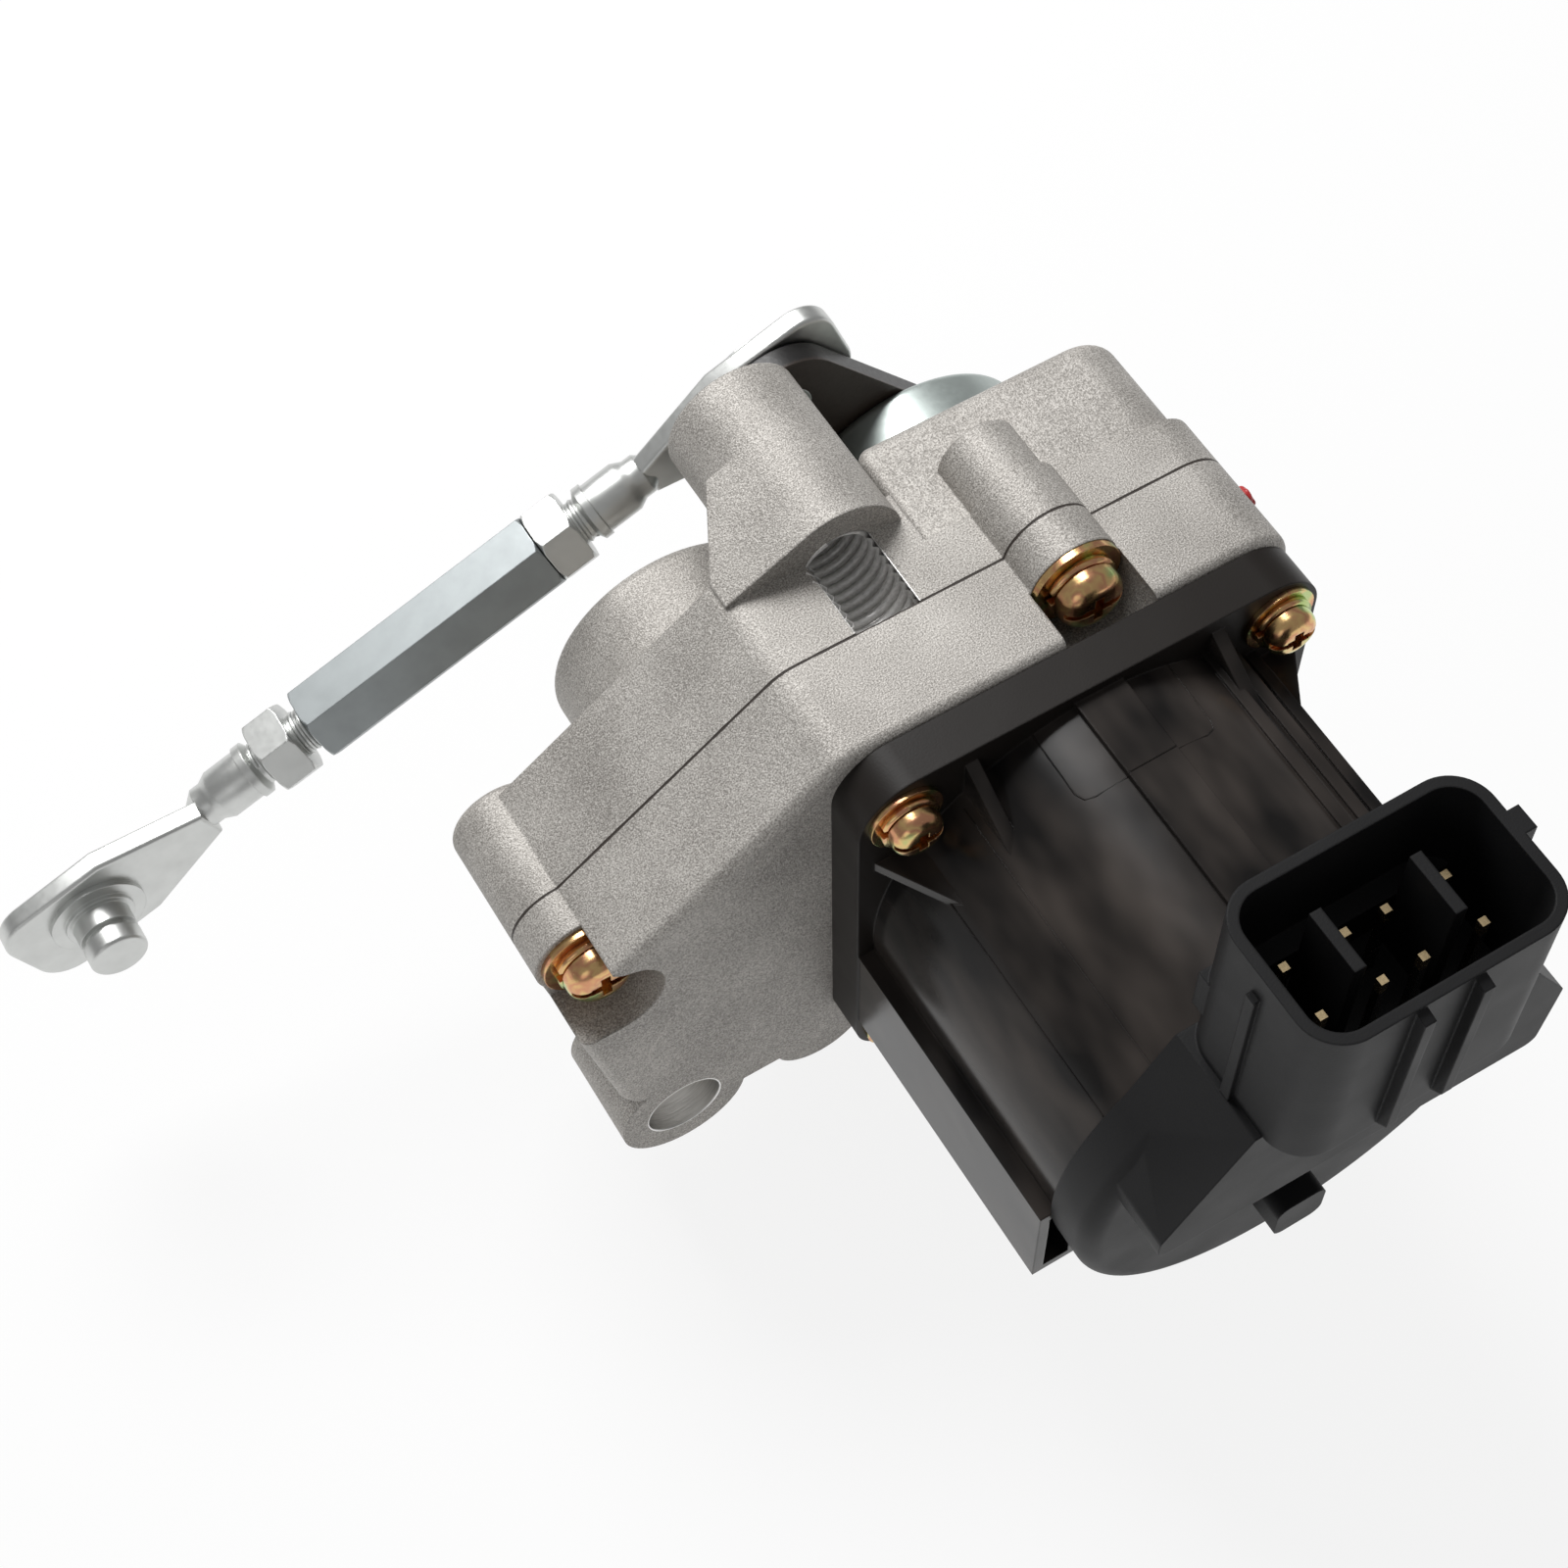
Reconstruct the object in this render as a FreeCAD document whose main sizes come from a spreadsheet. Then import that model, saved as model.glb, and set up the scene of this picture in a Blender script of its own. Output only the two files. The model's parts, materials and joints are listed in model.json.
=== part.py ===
import FreeCAD, Part
import math
import os

import Sketcher

# Turbo actuator: a motor, two gear stages in a die-cast box, an output lever and
# an adjustable link rod.  X runs to the right, Y runs from the motor to the lever,
# Z is up.  Sizes below are measured from the joint between the two castings (Y = 0)
# and from the vertical plane through the tapped boss, and every piece is then
# placed so that the mouth of the tapped boss is the origin.

doc = FreeCAD.newDocument("TurboActuator")

# Driving sizes in millimetres and degrees
SIZES = [
    # Castings
    ("housing_depth", 14.6), ("top_z", 0.8), ("right_x", 55.5), ("bottom_z", -70.0),
    ("left_x", -49.3), ("slope_top_x", -9.6), ("slope_low_z", -22.6),
    ("corner_top_radius", 7.0), ("corner_low_radius", 9.0), ("casting_edge", 1.6),
    ("heel_rise", 9.0), ("slope_drop", 4.0),
    ("floor_wall", 5.2), ("stage_clear", 0.55), ("cover_flange", 7.5),
    ("cover_slab", 15.4), ("cover_bulge", 24.8), ("cover_cavity", 10.4),
    ("bulge_left_x", 15.5), ("bulge_right_x", 54.7), ("bulge_top_z", -0.4),
    ("bulge_radius", 7.4), ("bulge_edge", 2.6), ("cavity_top_z", -9.8), ("cavity_bottom_z", -60.5),
    ("cavity_left_x", -32.0), ("cavity_right_x", 46.0), ("cavity_radius", 8.0),
    # Tapped mounting boss and its gusset
    ("boss_x", 5.6), ("boss_z", -1.4), ("boss_radius", 9.3), ("boss_front", 11.6),
    ("boss_rear", 37.4), ("boss_thread_radius", 5.0), ("boss_root_y", 27.0),
    ("gusset_left_x", -10.3), ("web_left_x", -4.0), ("web_right_x", 13.0),
    # Lug with the clearance hole
    ("lug_x", -34.8), ("lug_z", -66.8), ("lug_radius", 9.4), ("lug_bore_radius", 5.5),
    ("lug_web_z", -68.7), ("bump_x", -13.4), ("bump_z", -66.2),
    # Dome over the rear end of the idler
    ("dome_radius", 17.5), ("dome_rear", 35.0), ("dome_ring_radius", 19.5),
    ("dome_ring_rear", 18.0), ("dome_wall", 3.2), ("dome_edge", 2.4),
    ("axle_post_radius", 6.0),
    # Shaft centres
    ("motor_x", 21.9), ("motor_z", -33.0), ("idler_x", -8.0), ("idler_z", -35.4),
    ("output_x", 31.5), ("output_z", -32.5),
    # Housing screws
    ("screw_seat", 6.0), ("small_boss_rear", 16.0), ("small_boss_radius", 6.4),
    ("small_boss_tip", 5.6), ("screw_boss_radius", 7.0), ("low_boss_rear", 11.0), ("left_boss_rear", 17.2),
    ("screw_pocket_radius", 6.6), ("screw_clear", 0.25),
    ("screw_a_x", 28.4), ("screw_a_z", -0.4), ("screw_b_x", -42.0), ("screw_b_z", -28.6),
    ("screw_c_x", 6.0), ("screw_c_z", -66.5), ("screw_d_x", 30.0), ("screw_d_z", -65.0),
    ("m5_radius", 2.5), ("m5_head_radius", 4.5), ("m5_head_height", 3.3),
    ("m5_washer_radius", 6.25), ("m5_washer", 1.0), ("m5_spring_radius", 4.4),
    ("m5_spring", 1.3), ("m5_length", 16.0),
    # Case screws
    ("case_screw_reach", 7.184), ("m4_radius", 2.0), ("m4_head_radius", 3.5),
    ("m4_head_height", 2.7), ("m4_washer_radius", 5.0), ("m4_washer", 0.8),
    ("m4_spring_radius", 3.5), ("m4_spring", 1.0), ("m4_grip", 4.4),
    ("slot_width", 0.9), ("slot_depth", 1.3), ("cross_share", 0.46),
    ("cross_width", 1.3), ("cross_depth", 2.1),
    # Motor case
    ("flange_edge", 6.3), ("flange_thick", 6.2), ("flange_corner", 8.0),
    ("case_radius", 31.0), ("case_front", -62.5), ("case_wall", 3.2),
    ("spigot_radius", 15.9), ("spigot_length", 3.2), ("spigot_clear", 0.1),
    ("seal_section", 1.3), ("seal_ring_radius", 21.0),
    ("strip_width", 7.0), ("strip_height", 0.8), ("strip_x", 22.2),
    ("gusset_reach", 12.0), ("gusset_height", 5.5), ("gusset_width", 1.8),
    ("channel_left_x", -11.2), ("channel_right_x", -5.2), ("channel_top_z", -37.0),
    ("channel_bottom_z", -55.0), ("channel_wall", 1.5), ("side_rib_width", 1.6),
    ("side_rib_step", 3.6),
    # End cap and connector
    ("cap_lip", 0.8), ("cap_depth", 7.4), ("cap_edge", 2.6), ("cap_wall", 2.8),
    ("block_front", -77.6), ("block_left_x", -6.2), ("block_right_x", 49.6),
    ("block_low_z", -23.0), ("block_step_x", 4.4), ("block_foot", 4.0),
    ("block_shoulder_x", 6.0), ("block_shoulder_z", 10.0), ("block_lean", 1.0),
    ("shroud_x", 22.0), ("shroud_y", -72.1), ("shroud_half_x", 16.7),
    ("shroud_half_y", 10.6), ("shroud_corner", 5.4), ("shroud_wall", 1.4),
    ("shroud_rim_z", 26.3), ("shroud_floor_z", 5.0),
    ("shroud_rib_width", 1.4), ("shroud_rib_reach", 1.6), ("shroud_rib_drop", 2.2),
    ("shroud_rib_left", -5.4), ("shroud_rib_right", 2.1), ("shroud_bump", 1.5),
    ("shroud_bump_length", 3.2), ("ledge_z", 11.2), ("ledge_depth", 2.7),
    ("key_width", 1.5), ("key_front", -3.1), ("key_rear", 4.9), ("key_top_z", 24.0),
    ("key_x", 6.5),
    ("peg_x", 17.5), ("peg_z", -41.0), ("peg_half", 3.6), ("peg_reach", 6.8),
    ("peg_corner", 1.8),
    ("pin_inner", 2.7), ("pin_outer", 10.6), ("pin_row", 3.3), ("pin_half", 0.5),
    ("pin_tip_z", 18.0), ("pin_foot_z", -9.5), ("pin_foot_step", 4.0),
    ("foot_room_half", 12.0), ("foot_room_top", -6.0), ("foot_room_low", -16.0),
    ("bearing_hub", 12.5), ("board_post", 2.5), ("board_post_inset", 6.5),
    # Motor inside
    ("stator_fit", 0.2), ("stator_bore", 14.2), ("stator_front", -54.0),
    ("stator_rear", -27.0), ("yoke", 4.6), ("tooth_width", 4.4), ("slot_count", 9.0),
    ("coil_width", 8.4), ("coil_overhang", 3.0), ("coil_gap", 0.6),
    ("magnet_radius", 13.6), ("core_radius", 9.0), ("magnet_front", -52.0),
    ("magnet_rear", -29.0), ("shaft_radius", 3.0), ("motor_bearing_radius", 9.5),
    ("motor_bearing_width", 6.0), ("motor_bearing_y", -19.0), ("board_thick", 1.6),
    ("board_y", -60.2), ("board_fit", 0.8), ("board_bore", 14.0), ("race_gap", 0.15),
    ("rear_bearing_y", -66.1),
    ("inner_race", 2.3), ("run_clear", 0.04),
    # Gears
    ("pinion_teeth", 10.0), ("gear_teeth", 50.0), ("idler_teeth", 14.0),
    ("sector_teeth", 58.0), ("sector_before", 1.0), ("sector_after", 8.0),
    ("gear_y", -8.0), ("gear_width", 5.0), ("pinion_y", -8.8), ("pinion_width", 6.6),
    ("stage_shift", 0.45), ("output_shift", 0.3), ("gear_recess", 1.2),
    ("idler_teeth_y", -2.8), ("sector_y", 2.0), ("sector_width", 7.0),
    ("mesh_backlash", 0.14), ("axle_radius", 3.0), ("bush_radius", 4.2),
    ("bush_length", 6.5), ("side_clear", 0.2), ("axle_rear", 22.0),
    # Output shaft, cup and lever
    ("output_radius", 5.0), ("output_end_radius", 4.0), ("bearing_radius", 13.0),
    ("bearing_width", 8.0), ("bearing_one_y", 10.4), ("bearing_two_y", 22.2),
    ("neck_radius", 15.9), ("neck_rear", 34.4), ("seal_width", 3.6),
    ("cup_radius", 19.3), ("cup_front", 26.2), ("cup_rear", 38.2), ("cup_wall", 1.6),
    ("cup_edge", 1.5), ("lever_thick", 3.2), ("lever_hub_radius", 12.2),
    ("lever_tip_radius", 9.0), ("lever_tip_x", 13.9), ("lever_tip_z", -6.7),
    ("nut_half", 6.5), ("nut_height", 5.0), ("lever_washer", 1.2),
    ("lever_washer_radius", 8.0), ("shaft_proud", 1.6),
    # Link rod, measured from the lever pin along the rod
    ("rod_angle", 20.2), ("rod_length", 112.0), ("rod_lift", 2.0), ("paddle_gap", 0.6),
    ("paddle_thick", 3.0), ("paddle_reach", 11.8), ("paddle_half", 8.4),
    ("paddle_corner", 5.0), ("paddle_taper", 5.5), ("paddle_end", 19.5),
    ("neck_half", 2.9), ("far_lift", 3.1), ("link_pin_radius", 4.0), ("pin_clear", 0.05),
    ("pin_shoulder", 5.4), ("pin_shoulder_height", 0.5), ("clip_groove", 3.2),
    ("clip_thick", 1.0), ("clip_clear", 0.1), ("clip_mouth", 2.5), ("pin_end", 1.4),
    ("clip_radius", 6.6), ("shank_radius", 3.6), ("shank_end", 29.0),
    ("shank_ring", 0.35), ("stud_radius", 2.95), ("jam_start", 30.6),
    ("jam_height", 5.2), ("hex_half", 5.0), ("hex_start", 36.0), ("far_reach", 37.8),
    ("hex_bore", 3.0), ("hex_thread", 14.0), ("hex_chamfer", 0.6), ("far_jam_gap", 2.4),
    # Pin at the far end of the rod
    ("far_pin_front", 33.25), ("far_groove_y", 35.9), ("far_groove", 1.0),
    ("far_collar", 4.8), ("far_collar_height", 0.6), ("far_shoulder", 6.6),
    ("far_shoulder_height", 0.8), ("far_shank", 3.5), ("stake_radius", 4.8),
    ("stake_height", 0.8),
]

sheet = doc.addObject("Spreadsheet::Sheet", "Sizes")
VALUES = {}
for row, (alias, number) in enumerate(SIZES, start=1):
    sheet.set("A%d" % row, alias)
    sheet.set("B%d" % row, repr(number))
    sheet.setAlias("B%d" % row, alias)
    VALUES[alias] = number
doc.recompute()


class Size:
    """A number together with the sheet expression that gives it."""

    def __init__(self, number, text):
        self.number = float(number)
        self.text = text

    def __add__(self, other):
        other = size(other)
        return Size(self.number + other.number, "(%s + %s)" % (self.text, other.text))

    def __sub__(self, other):
        other = size(other)
        return Size(self.number - other.number, "(%s - %s)" % (self.text, other.text))

    def __mul__(self, other):
        other = size(other)
        return Size(self.number * other.number, "(%s * %s)" % (self.text, other.text))

    def __truediv__(self, other):
        other = size(other)
        return Size(self.number / other.number, "(%s / %s)" % (self.text, other.text))

    def __neg__(self):
        return Size(-self.number, "(0 - %s)" % self.text)

    def __radd__(self, other):
        return size(other) + self

    def __rsub__(self, other):
        return size(other) - self

    def __rmul__(self, other):
        return size(other) * self


def size(value):
    return value if isinstance(value, Size) else Size(value, repr(float(value)))


def square_root(value):
    return Size(math.sqrt(value.number), "sqrt(%s)" % value.text)


def distance(x1, z1, x2, z2):
    return square_root((x2 - x1) * (x2 - x1) + (z2 - z1) * (z2 - z1))


class Sheet:
    """Gives each named size as an attribute."""

    def __getattr__(self, alias):
        return Size(VALUES[alias], "Sizes.%s" % alias)


D = Sheet()
NODES = []


def node(obj, label):
    obj.Label = label
    NODES.append(obj)
    return obj


def place(obj, x=0.0, y=0.0, z=0.0):
    """Puts a piece at a point of the casting frame, with the boss mouth as origin."""
    obj.setExpression("Placement.Base.x", (size(x) - D.boss_x).text)
    obj.setExpression("Placement.Base.y", (size(y) - D.boss_rear).text)
    obj.setExpression("Placement.Base.z", (size(z) - D.boss_z).text)


def placement(x=0.0, y=0.0, z=0.0, turn=0.0):
    """The same place as numbers, for pieces whose shape is set directly."""
    base = FreeCAD.Vector(size(x).number - VALUES["boss_x"],
                          size(y).number - VALUES["boss_rear"],
                          size(z).number - VALUES["boss_z"])
    return FreeCAD.Placement(base, FreeCAD.Rotation(FreeCAD.Vector(0, 1, 0), turn))


def new_body(name):
    return doc.addObject("PartDesign::Body", name)


def origin_plane(body, role):
    return [f for f in body.Origin.OriginFeatures if f.Role == role][0]


def new_sketch(body, role, offset):
    sketch = body.newObject("Sketcher::SketchObject", body.Name + "_sketch")
    sketch.AttachmentSupport = [(origin_plane(body, role), "")]
    sketch.MapMode = "FlatFace"
    sketch.AttachmentOffset = FreeCAD.Placement(
        FreeCAD.Vector(0, 0, offset.number), FreeCAD.Rotation())
    sketch.setExpression("AttachmentOffset.Base.z", offset.text)
    return sketch


def fix(sketch, kind, *parts):
    """Adds a dimension whose last entry is a size, and binds it to the sheet."""
    value = size(parts[-1])
    index = sketch.addConstraint(Sketcher.Constraint(kind, *parts[:-1], value.number))
    if "Sizes" in value.text:
        sketch.setExpression("Constraints[%d]" % index, value.text)


def at(sketch, geo, point, x, y):
    fix(sketch, "DistanceX", -1, 1, geo, point, x)
    fix(sketch, "DistanceY", -1, 1, geo, point, y)


def circle(x, y, radius):
    """A drawing step that adds one circle."""
    x, y, radius = size(x), size(y), size(radius)

    def draw(sketch):
        centre = FreeCAD.Vector(x.number, y.number, 0)
        geo = sketch.addGeometry(
            Part.Circle(centre, FreeCAD.Vector(0, 0, 1), radius.number), False)
        at(sketch, geo, 3, x, y)
        fix(sketch, "Radius", geo, radius)
    return draw


def outline(*corners):
    """A drawing step that adds a closed outline of (x, y) or (x, y, rounding)."""
    corners = [tuple(size(v) for v in c) for c in corners]

    def draw(sketch):
        count = len(corners)
        points = [FreeCAD.Vector(c[0].number, c[1].number, 0) for c in corners]
        starts, ends, arcs = [], [], []
        for i, corner in enumerate(corners):
            before = (points[i - 1] - points[i]).normalize()
            after = (points[(i + 1) % count] - points[i]).normalize()
            if len(corner) == 2:
                starts.append(points[i])
                ends.append(points[i])
                arcs.append(None)
                continue
            half = before.getAngle(after) / 2
            radius = corner[2].number
            reach = radius / math.tan(half)
            first = points[i] + before * reach
            last = points[i] + after * reach
            middle = (before + after).normalize()
            centre = points[i] + middle * (radius / math.sin(half))
            arcs.append(Part.Arc(first, centre - middle * radius, last))
            starts.append(first)
            ends.append(last)
        lines = []
        for i in range(count):
            line = Part.LineSegment(ends[i], starts[(i + 1) % count])
            lines.append(sketch.addGeometry(line, False))
        for i, corner in enumerate(corners):
            into, out = lines[i - 1], lines[i]
            if arcs[i] is None:
                sketch.addConstraint(Sketcher.Constraint("Coincident", into, 2, out, 1))
                at(sketch, out, 1, corner[0], corner[1])
                continue
            tip = sketch.addGeometry(Part.Point(points[i]), True)
            at(sketch, tip, 1, corner[0], corner[1])
            sketch.addConstraint(Sketcher.Constraint("PointOnObject", tip, 1, into))
            sketch.addConstraint(Sketcher.Constraint("PointOnObject", tip, 1, out))
            arc = sketch.addGeometry(arcs[i], False)
            begin = sketch.getPoint(arc, 1)
            near = 1 if begin.distanceToPoint(starts[i]) < begin.distanceToPoint(ends[i]) else 2
            sketch.addConstraint(Sketcher.Constraint("Tangent", into, 2, arc, near))
            sketch.addConstraint(Sketcher.Constraint("Tangent", out, 1, arc, 3 - near))
            fix(sketch, "Radius", arc, corner[2])
    return draw


def box(x_from, x_to, y_from, y_to):
    return outline((x_from, y_from), (x_to, y_from), (x_to, y_to), (x_from, y_to))


def rounded_box(x, y, half_x, half_y, radius):
    return outline((x - half_x, y - half_y, radius), (x + half_x, y - half_y, radius),
                   (x + half_x, y + half_y, radius), (x - half_x, y + half_y, radius))


def hexagon(half):
    """A hexagon about the origin, half its width across the flats, flats up and down."""
    side = half * (2 / math.sqrt(3))
    return outline(*[(side * round(math.cos(math.radians(60 * k)), 9),
                      side * round(math.sin(math.radians(60 * k)), 9)) for k in range(6)])


def slab(body, y_from, y_to, *draws, cut=False):
    """Adds or cuts the drawn outlines (in X and Z) between two heights on Y."""
    y_from, y_to = size(y_from), size(y_to)
    sketch = new_sketch(body, "XZ_Plane", -y_from)
    for draw in draws:
        draw(sketch)
    kind = "Pocket" if cut else "Pad"
    feature = body.newObject("PartDesign::" + kind, body.Name + "_" + kind.lower())
    feature.Profile = sketch
    feature.Length = y_to.number - y_from.number
    feature.setExpression("Length", (y_to - y_from).text)
    feature.Reversed = not cut
    return feature


def drop(body, z_from, z_to, *draws, cut=False):
    """Adds or cuts the drawn outlines (in X and Y) between two heights on Z."""
    z_from, z_to = size(z_from), size(z_to)
    sketch = new_sketch(body, "XY_Plane", z_from if not cut else z_to)
    for draw in draws:
        draw(sketch)
    kind = "Pocket" if cut else "Pad"
    feature = body.newObject("PartDesign::" + kind, body.Name + "_" + kind.lower())
    feature.Profile = sketch
    feature.Length = z_to.number - z_from.number
    feature.setExpression("Length", (z_to - z_from).text)
    return feature


def rib(body, x_from, x_to, *draws):
    """Adds the drawn outlines (in Y and Z) between two places on X."""
    x_from, x_to = size(x_from), size(x_to)
    sketch = new_sketch(body, "YZ_Plane", x_from)
    for draw in draws:
        draw(sketch)
    feature = body.newObject("PartDesign::Pad", body.Name + "_rib")
    feature.Profile = sketch
    feature.Length = x_to.number - x_from.number
    feature.setExpression("Length", (x_to - x_from).text)
    return feature


def spun(body, kind, axis, profile):
    """Adds or cuts an outline of the X and Y plane spun about one of its axes."""
    sketch = new_sketch(body, "XY_Plane", size(0.0))
    profile(sketch)
    feature = body.newObject("PartDesign::" + kind, body.Name + "_" + kind.lower())
    feature.Profile = sketch
    feature.ReferenceAxis = (sketch, [axis])
    feature.Angle = 360.0
    return feature


def round_edges(body, radius, wanted):
    """Rounds the edges of the last feature that pass the test."""
    doc.recompute()
    base = body.Tip
    names = ["Edge%d" % i for i, edge in enumerate(base.Shape.Edges, start=1) if wanted(edge)]
    feature = body.newObject("PartDesign::Fillet", body.Name + "_fillet")
    feature.Base = (base, names)
    feature.Radius = radius.number
    feature.setExpression("Radius", radius.text)
    return feature


def lies_at(edge, y):
    box = edge.BoundBox
    return abs(box.YMin - y.number) < 1e-6 and abs(box.YMax - y.number) < 1e-6


def turned(name, *profiles):
    """A turned piece: outlines of (radius, height on Y) spun about its own Y axis."""
    body = new_body(name)
    for profile in profiles:
        spun(body, "Revolution", "V_Axis", profile)
    return body


def turned_at(name, x, z, *profiles):
    body = turned(name, *profiles)
    place(body, x, 0, z)
    return body


def group(label, pieces):
    """One node for several like pieces, each a solid of its own."""
    compound = doc.addObject("Part::Compound", label)
    compound.Links = pieces
    return node(compound, label)


# Sizes and places that several pieces share
case_screw_half = (D.case_radius + D.case_screw_reach) / math.sqrt(2)
flange_half = case_screw_half + D.flange_edge
cap_radius = D.case_radius + D.cap_lip
block_top_z = D.motor_z + D.case_radius
stator_radius = D.case_radius - D.case_wall - D.stator_fit
board_radius = D.case_radius - D.case_wall - D.board_fit
board_post_ring = board_radius - D.board_post_inset
hex_length = D.rod_length - D.hex_start - D.far_reach
seat_y = -D.screw_seat
flange_y = -D.housing_depth
flange_front = flange_y - D.flange_thick
cavity_floor = flange_y + D.floor_wall
cap_front = D.case_front - D.cap_depth
lever_rear = D.cup_rear + D.lever_thick
paddle_front = lever_rear + D.paddle_gap
paddle_rear = paddle_front + D.paddle_thick
rod_y = paddle_front + D.rod_lift
far_front = rod_y - D.far_lift
far_rear = far_front + D.paddle_thick
SCREWS = [(D.screw_a_x, D.screw_a_z), (D.screw_b_x, D.screw_b_z),
          (D.screw_c_x, D.screw_c_z), (D.screw_d_x, D.screw_d_z)]
CASE_SCREWS = [(D.motor_x + sx * case_screw_half, D.motor_z + sz * case_screw_half)
               for sx, sz in ((-1, 1), (1, 1), (1, -1), (-1, -1))]


def casting_outline():
    """The outline that both castings share at their joint."""
    return outline(
        (D.slope_top_x, D.top_z, D.screw_boss_radius),
        (D.right_x, D.top_z, D.corner_top_radius),
        (D.right_x, D.bottom_z, D.corner_low_radius),
        (D.left_x + D.screw_boss_radius, D.bottom_z + D.heel_rise, D.screw_boss_radius),
        (D.left_x, D.slope_low_z - D.slope_drop, D.screw_boss_radius))


def gear_shape(module, teeth, shift, y_from, width, first):
    """An involute spur gear about the Y axis with a tooth centred at angle first."""
    pressure = math.radians(20.0)
    pitch = module * teeth / 2
    base = pitch * math.cos(pressure)
    tip = pitch + module * (1 + shift)
    root = pitch - module * (1.25 - shift)
    thick = module * (math.pi / 2 + 2 * shift * math.tan(pressure))
    half = (thick - VALUES["mesh_backlash"] / 2) / (2 * pitch)

    def involute(angle):
        return math.tan(angle) - angle

    def half_angle(radius):
        return half + involute(pressure) - involute(math.acos(min(1.0, base / radius)))

    def point(radius, angle):
        return FreeCAD.Vector(radius * math.cos(angle), y_from, radius * math.sin(angle))

    low = max(base, root)
    steps = [low + (tip - low) * k / 3 for k in range(4)]
    edges = []
    for tooth in range(int(teeth)):
        centre = first + 2 * math.pi * tooth / teeth
        following = centre + 2 * math.pi / teeth
        rise = [point(r, centre - half_angle(r)) for r in steps]
        fall = [point(r, centre + half_angle(r)) for r in reversed(steps)]
        foot = point(root, centre + half_angle(low))
        for flank in (rise, fall):
            curve = Part.BSplineCurve()
            curve.interpolate(flank)
            edges.append(curve.toShape())
            if flank is rise:
                edges.append(Part.Arc(rise[-1], point(tip, centre), fall[0]).toShape())
        if low > root:
            edges.append(Part.LineSegment(fall[-1], foot).toShape())
        end = point(root, following - half_angle(low))
        valley = point(root, (centre + following) / 2)
        edges.append(Part.Arc(foot if low > root else fall[-1], valley, end).toShape())
        if low > root:
            start = point(low, following - half_angle(low))
            edges.append(Part.LineSegment(end, start).toShape())
    face = Part.Face(Part.Wire(Part.__sortEdges__(edges)))
    solid = face.extrude(FreeCAD.Vector(0, width, 0))
    return solid


def shaft_hole(radius, y_from, y_to):
    return Part.makeCylinder(radius, y_to - y_from, FreeCAD.Vector(0, y_from, 0),
                             FreeCAD.Vector(0, 1, 0))


def angle_between(from_x, from_z, to_x, to_z):
    return math.atan2(to_z - from_z, to_x - from_x)


# Gear sizes that follow from the shaft centres
stage_distance = distance(D.motor_x, D.motor_z, D.idler_x, D.idler_z)
stage_module = stage_distance * 2 / (D.pinion_teeth + D.gear_teeth)
output_distance = distance(D.idler_x, D.idler_z, D.output_x, D.output_z)
output_module = output_distance * 2 / (D.idler_teeth + D.sector_teeth)
gear_tip = stage_module * (D.gear_teeth / 2 + 1 - D.stage_shift)
to_motor = angle_between(VALUES["idler_x"], VALUES["idler_z"],
                         VALUES["motor_x"], VALUES["motor_z"])
to_output = angle_between(VALUES["idler_x"], VALUES["idler_z"],
                          VALUES["output_x"], VALUES["output_z"])


def make_gear_housing():
    """The front casting, which takes the motor, the first gear stage and the lug."""
    body = new_body("gear_housing")
    slab(body, flange_y, 0, casting_outline())
    slope_end = VALUES["slope_top_x"] - VALUES["screw_boss_radius"]
    round_edges(body, D.casting_edge,
                lambda e: lies_at(e, flange_y) and e.CenterOfMass.x < slope_end)
    slab(body, seat_y, 0, circle(D.screw_a_x, D.screw_a_z, D.small_boss_radius))
    slab(body, seat_y, 0, circle(D.screw_b_x, D.screw_b_z, D.screw_boss_radius))
    slab(body, seat_y, 0, circle(D.screw_c_x, D.screw_c_z, D.screw_boss_radius))
    slab(body, flange_y, 0, circle(D.lug_x, D.lug_z, D.lug_radius))
    slab(body, flange_y, 0, box(D.lug_x, D.bump_x, D.lug_web_z, D.lug_z + D.lug_radius))
    slab(body, flange_y, 0, circle(D.bump_x, D.bump_z, D.screw_boss_radius))
    for x, z in SCREWS:
        slab(body, flange_y, seat_y, circle(x, z, D.screw_pocket_radius), cut=True)
        slab(body, seat_y, 0, circle(x, z, D.m5_radius + D.screw_clear), cut=True)
    # Beside the left screw the pocket is open to the outside
    slab(body, flange_y, seat_y,
         box(D.left_x - 2, D.screw_b_x, D.screw_b_z - D.screw_pocket_radius,
             D.screw_b_z + D.screw_pocket_radius + 1), cut=True)
    slab(body, flange_y, 0, circle(D.lug_x, D.lug_z, D.lug_bore_radius), cut=True)
    slab(body, cavity_floor, 0,
         circle(D.idler_x, D.idler_z, gear_tip + D.stage_clear), cut=True)
    slab(body, flange_y, cavity_floor,
         circle(D.motor_x, D.motor_z, D.spigot_radius + D.spigot_clear), cut=True)
    slab(body, cavity_floor, 0, circle(D.motor_x, D.motor_z, D.motor_bearing_radius),
         cut=True)
    # Thrust boss and blind seat for the idler axle
    slab(body, cavity_floor, D.gear_y - D.side_clear,
         circle(D.idler_x, D.idler_z, D.axle_post_radius))
    slab(body, axle_front, D.gear_y, circle(D.idler_x, D.idler_z, D.axle_radius), cut=True)
    for x, z in CASE_SCREWS:
        slab(body, flange_y, flange_y + D.m4_grip, circle(x, z, D.m4_radius), cut=True)
    place(body)
    return node(body, "gear_housing")


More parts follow.
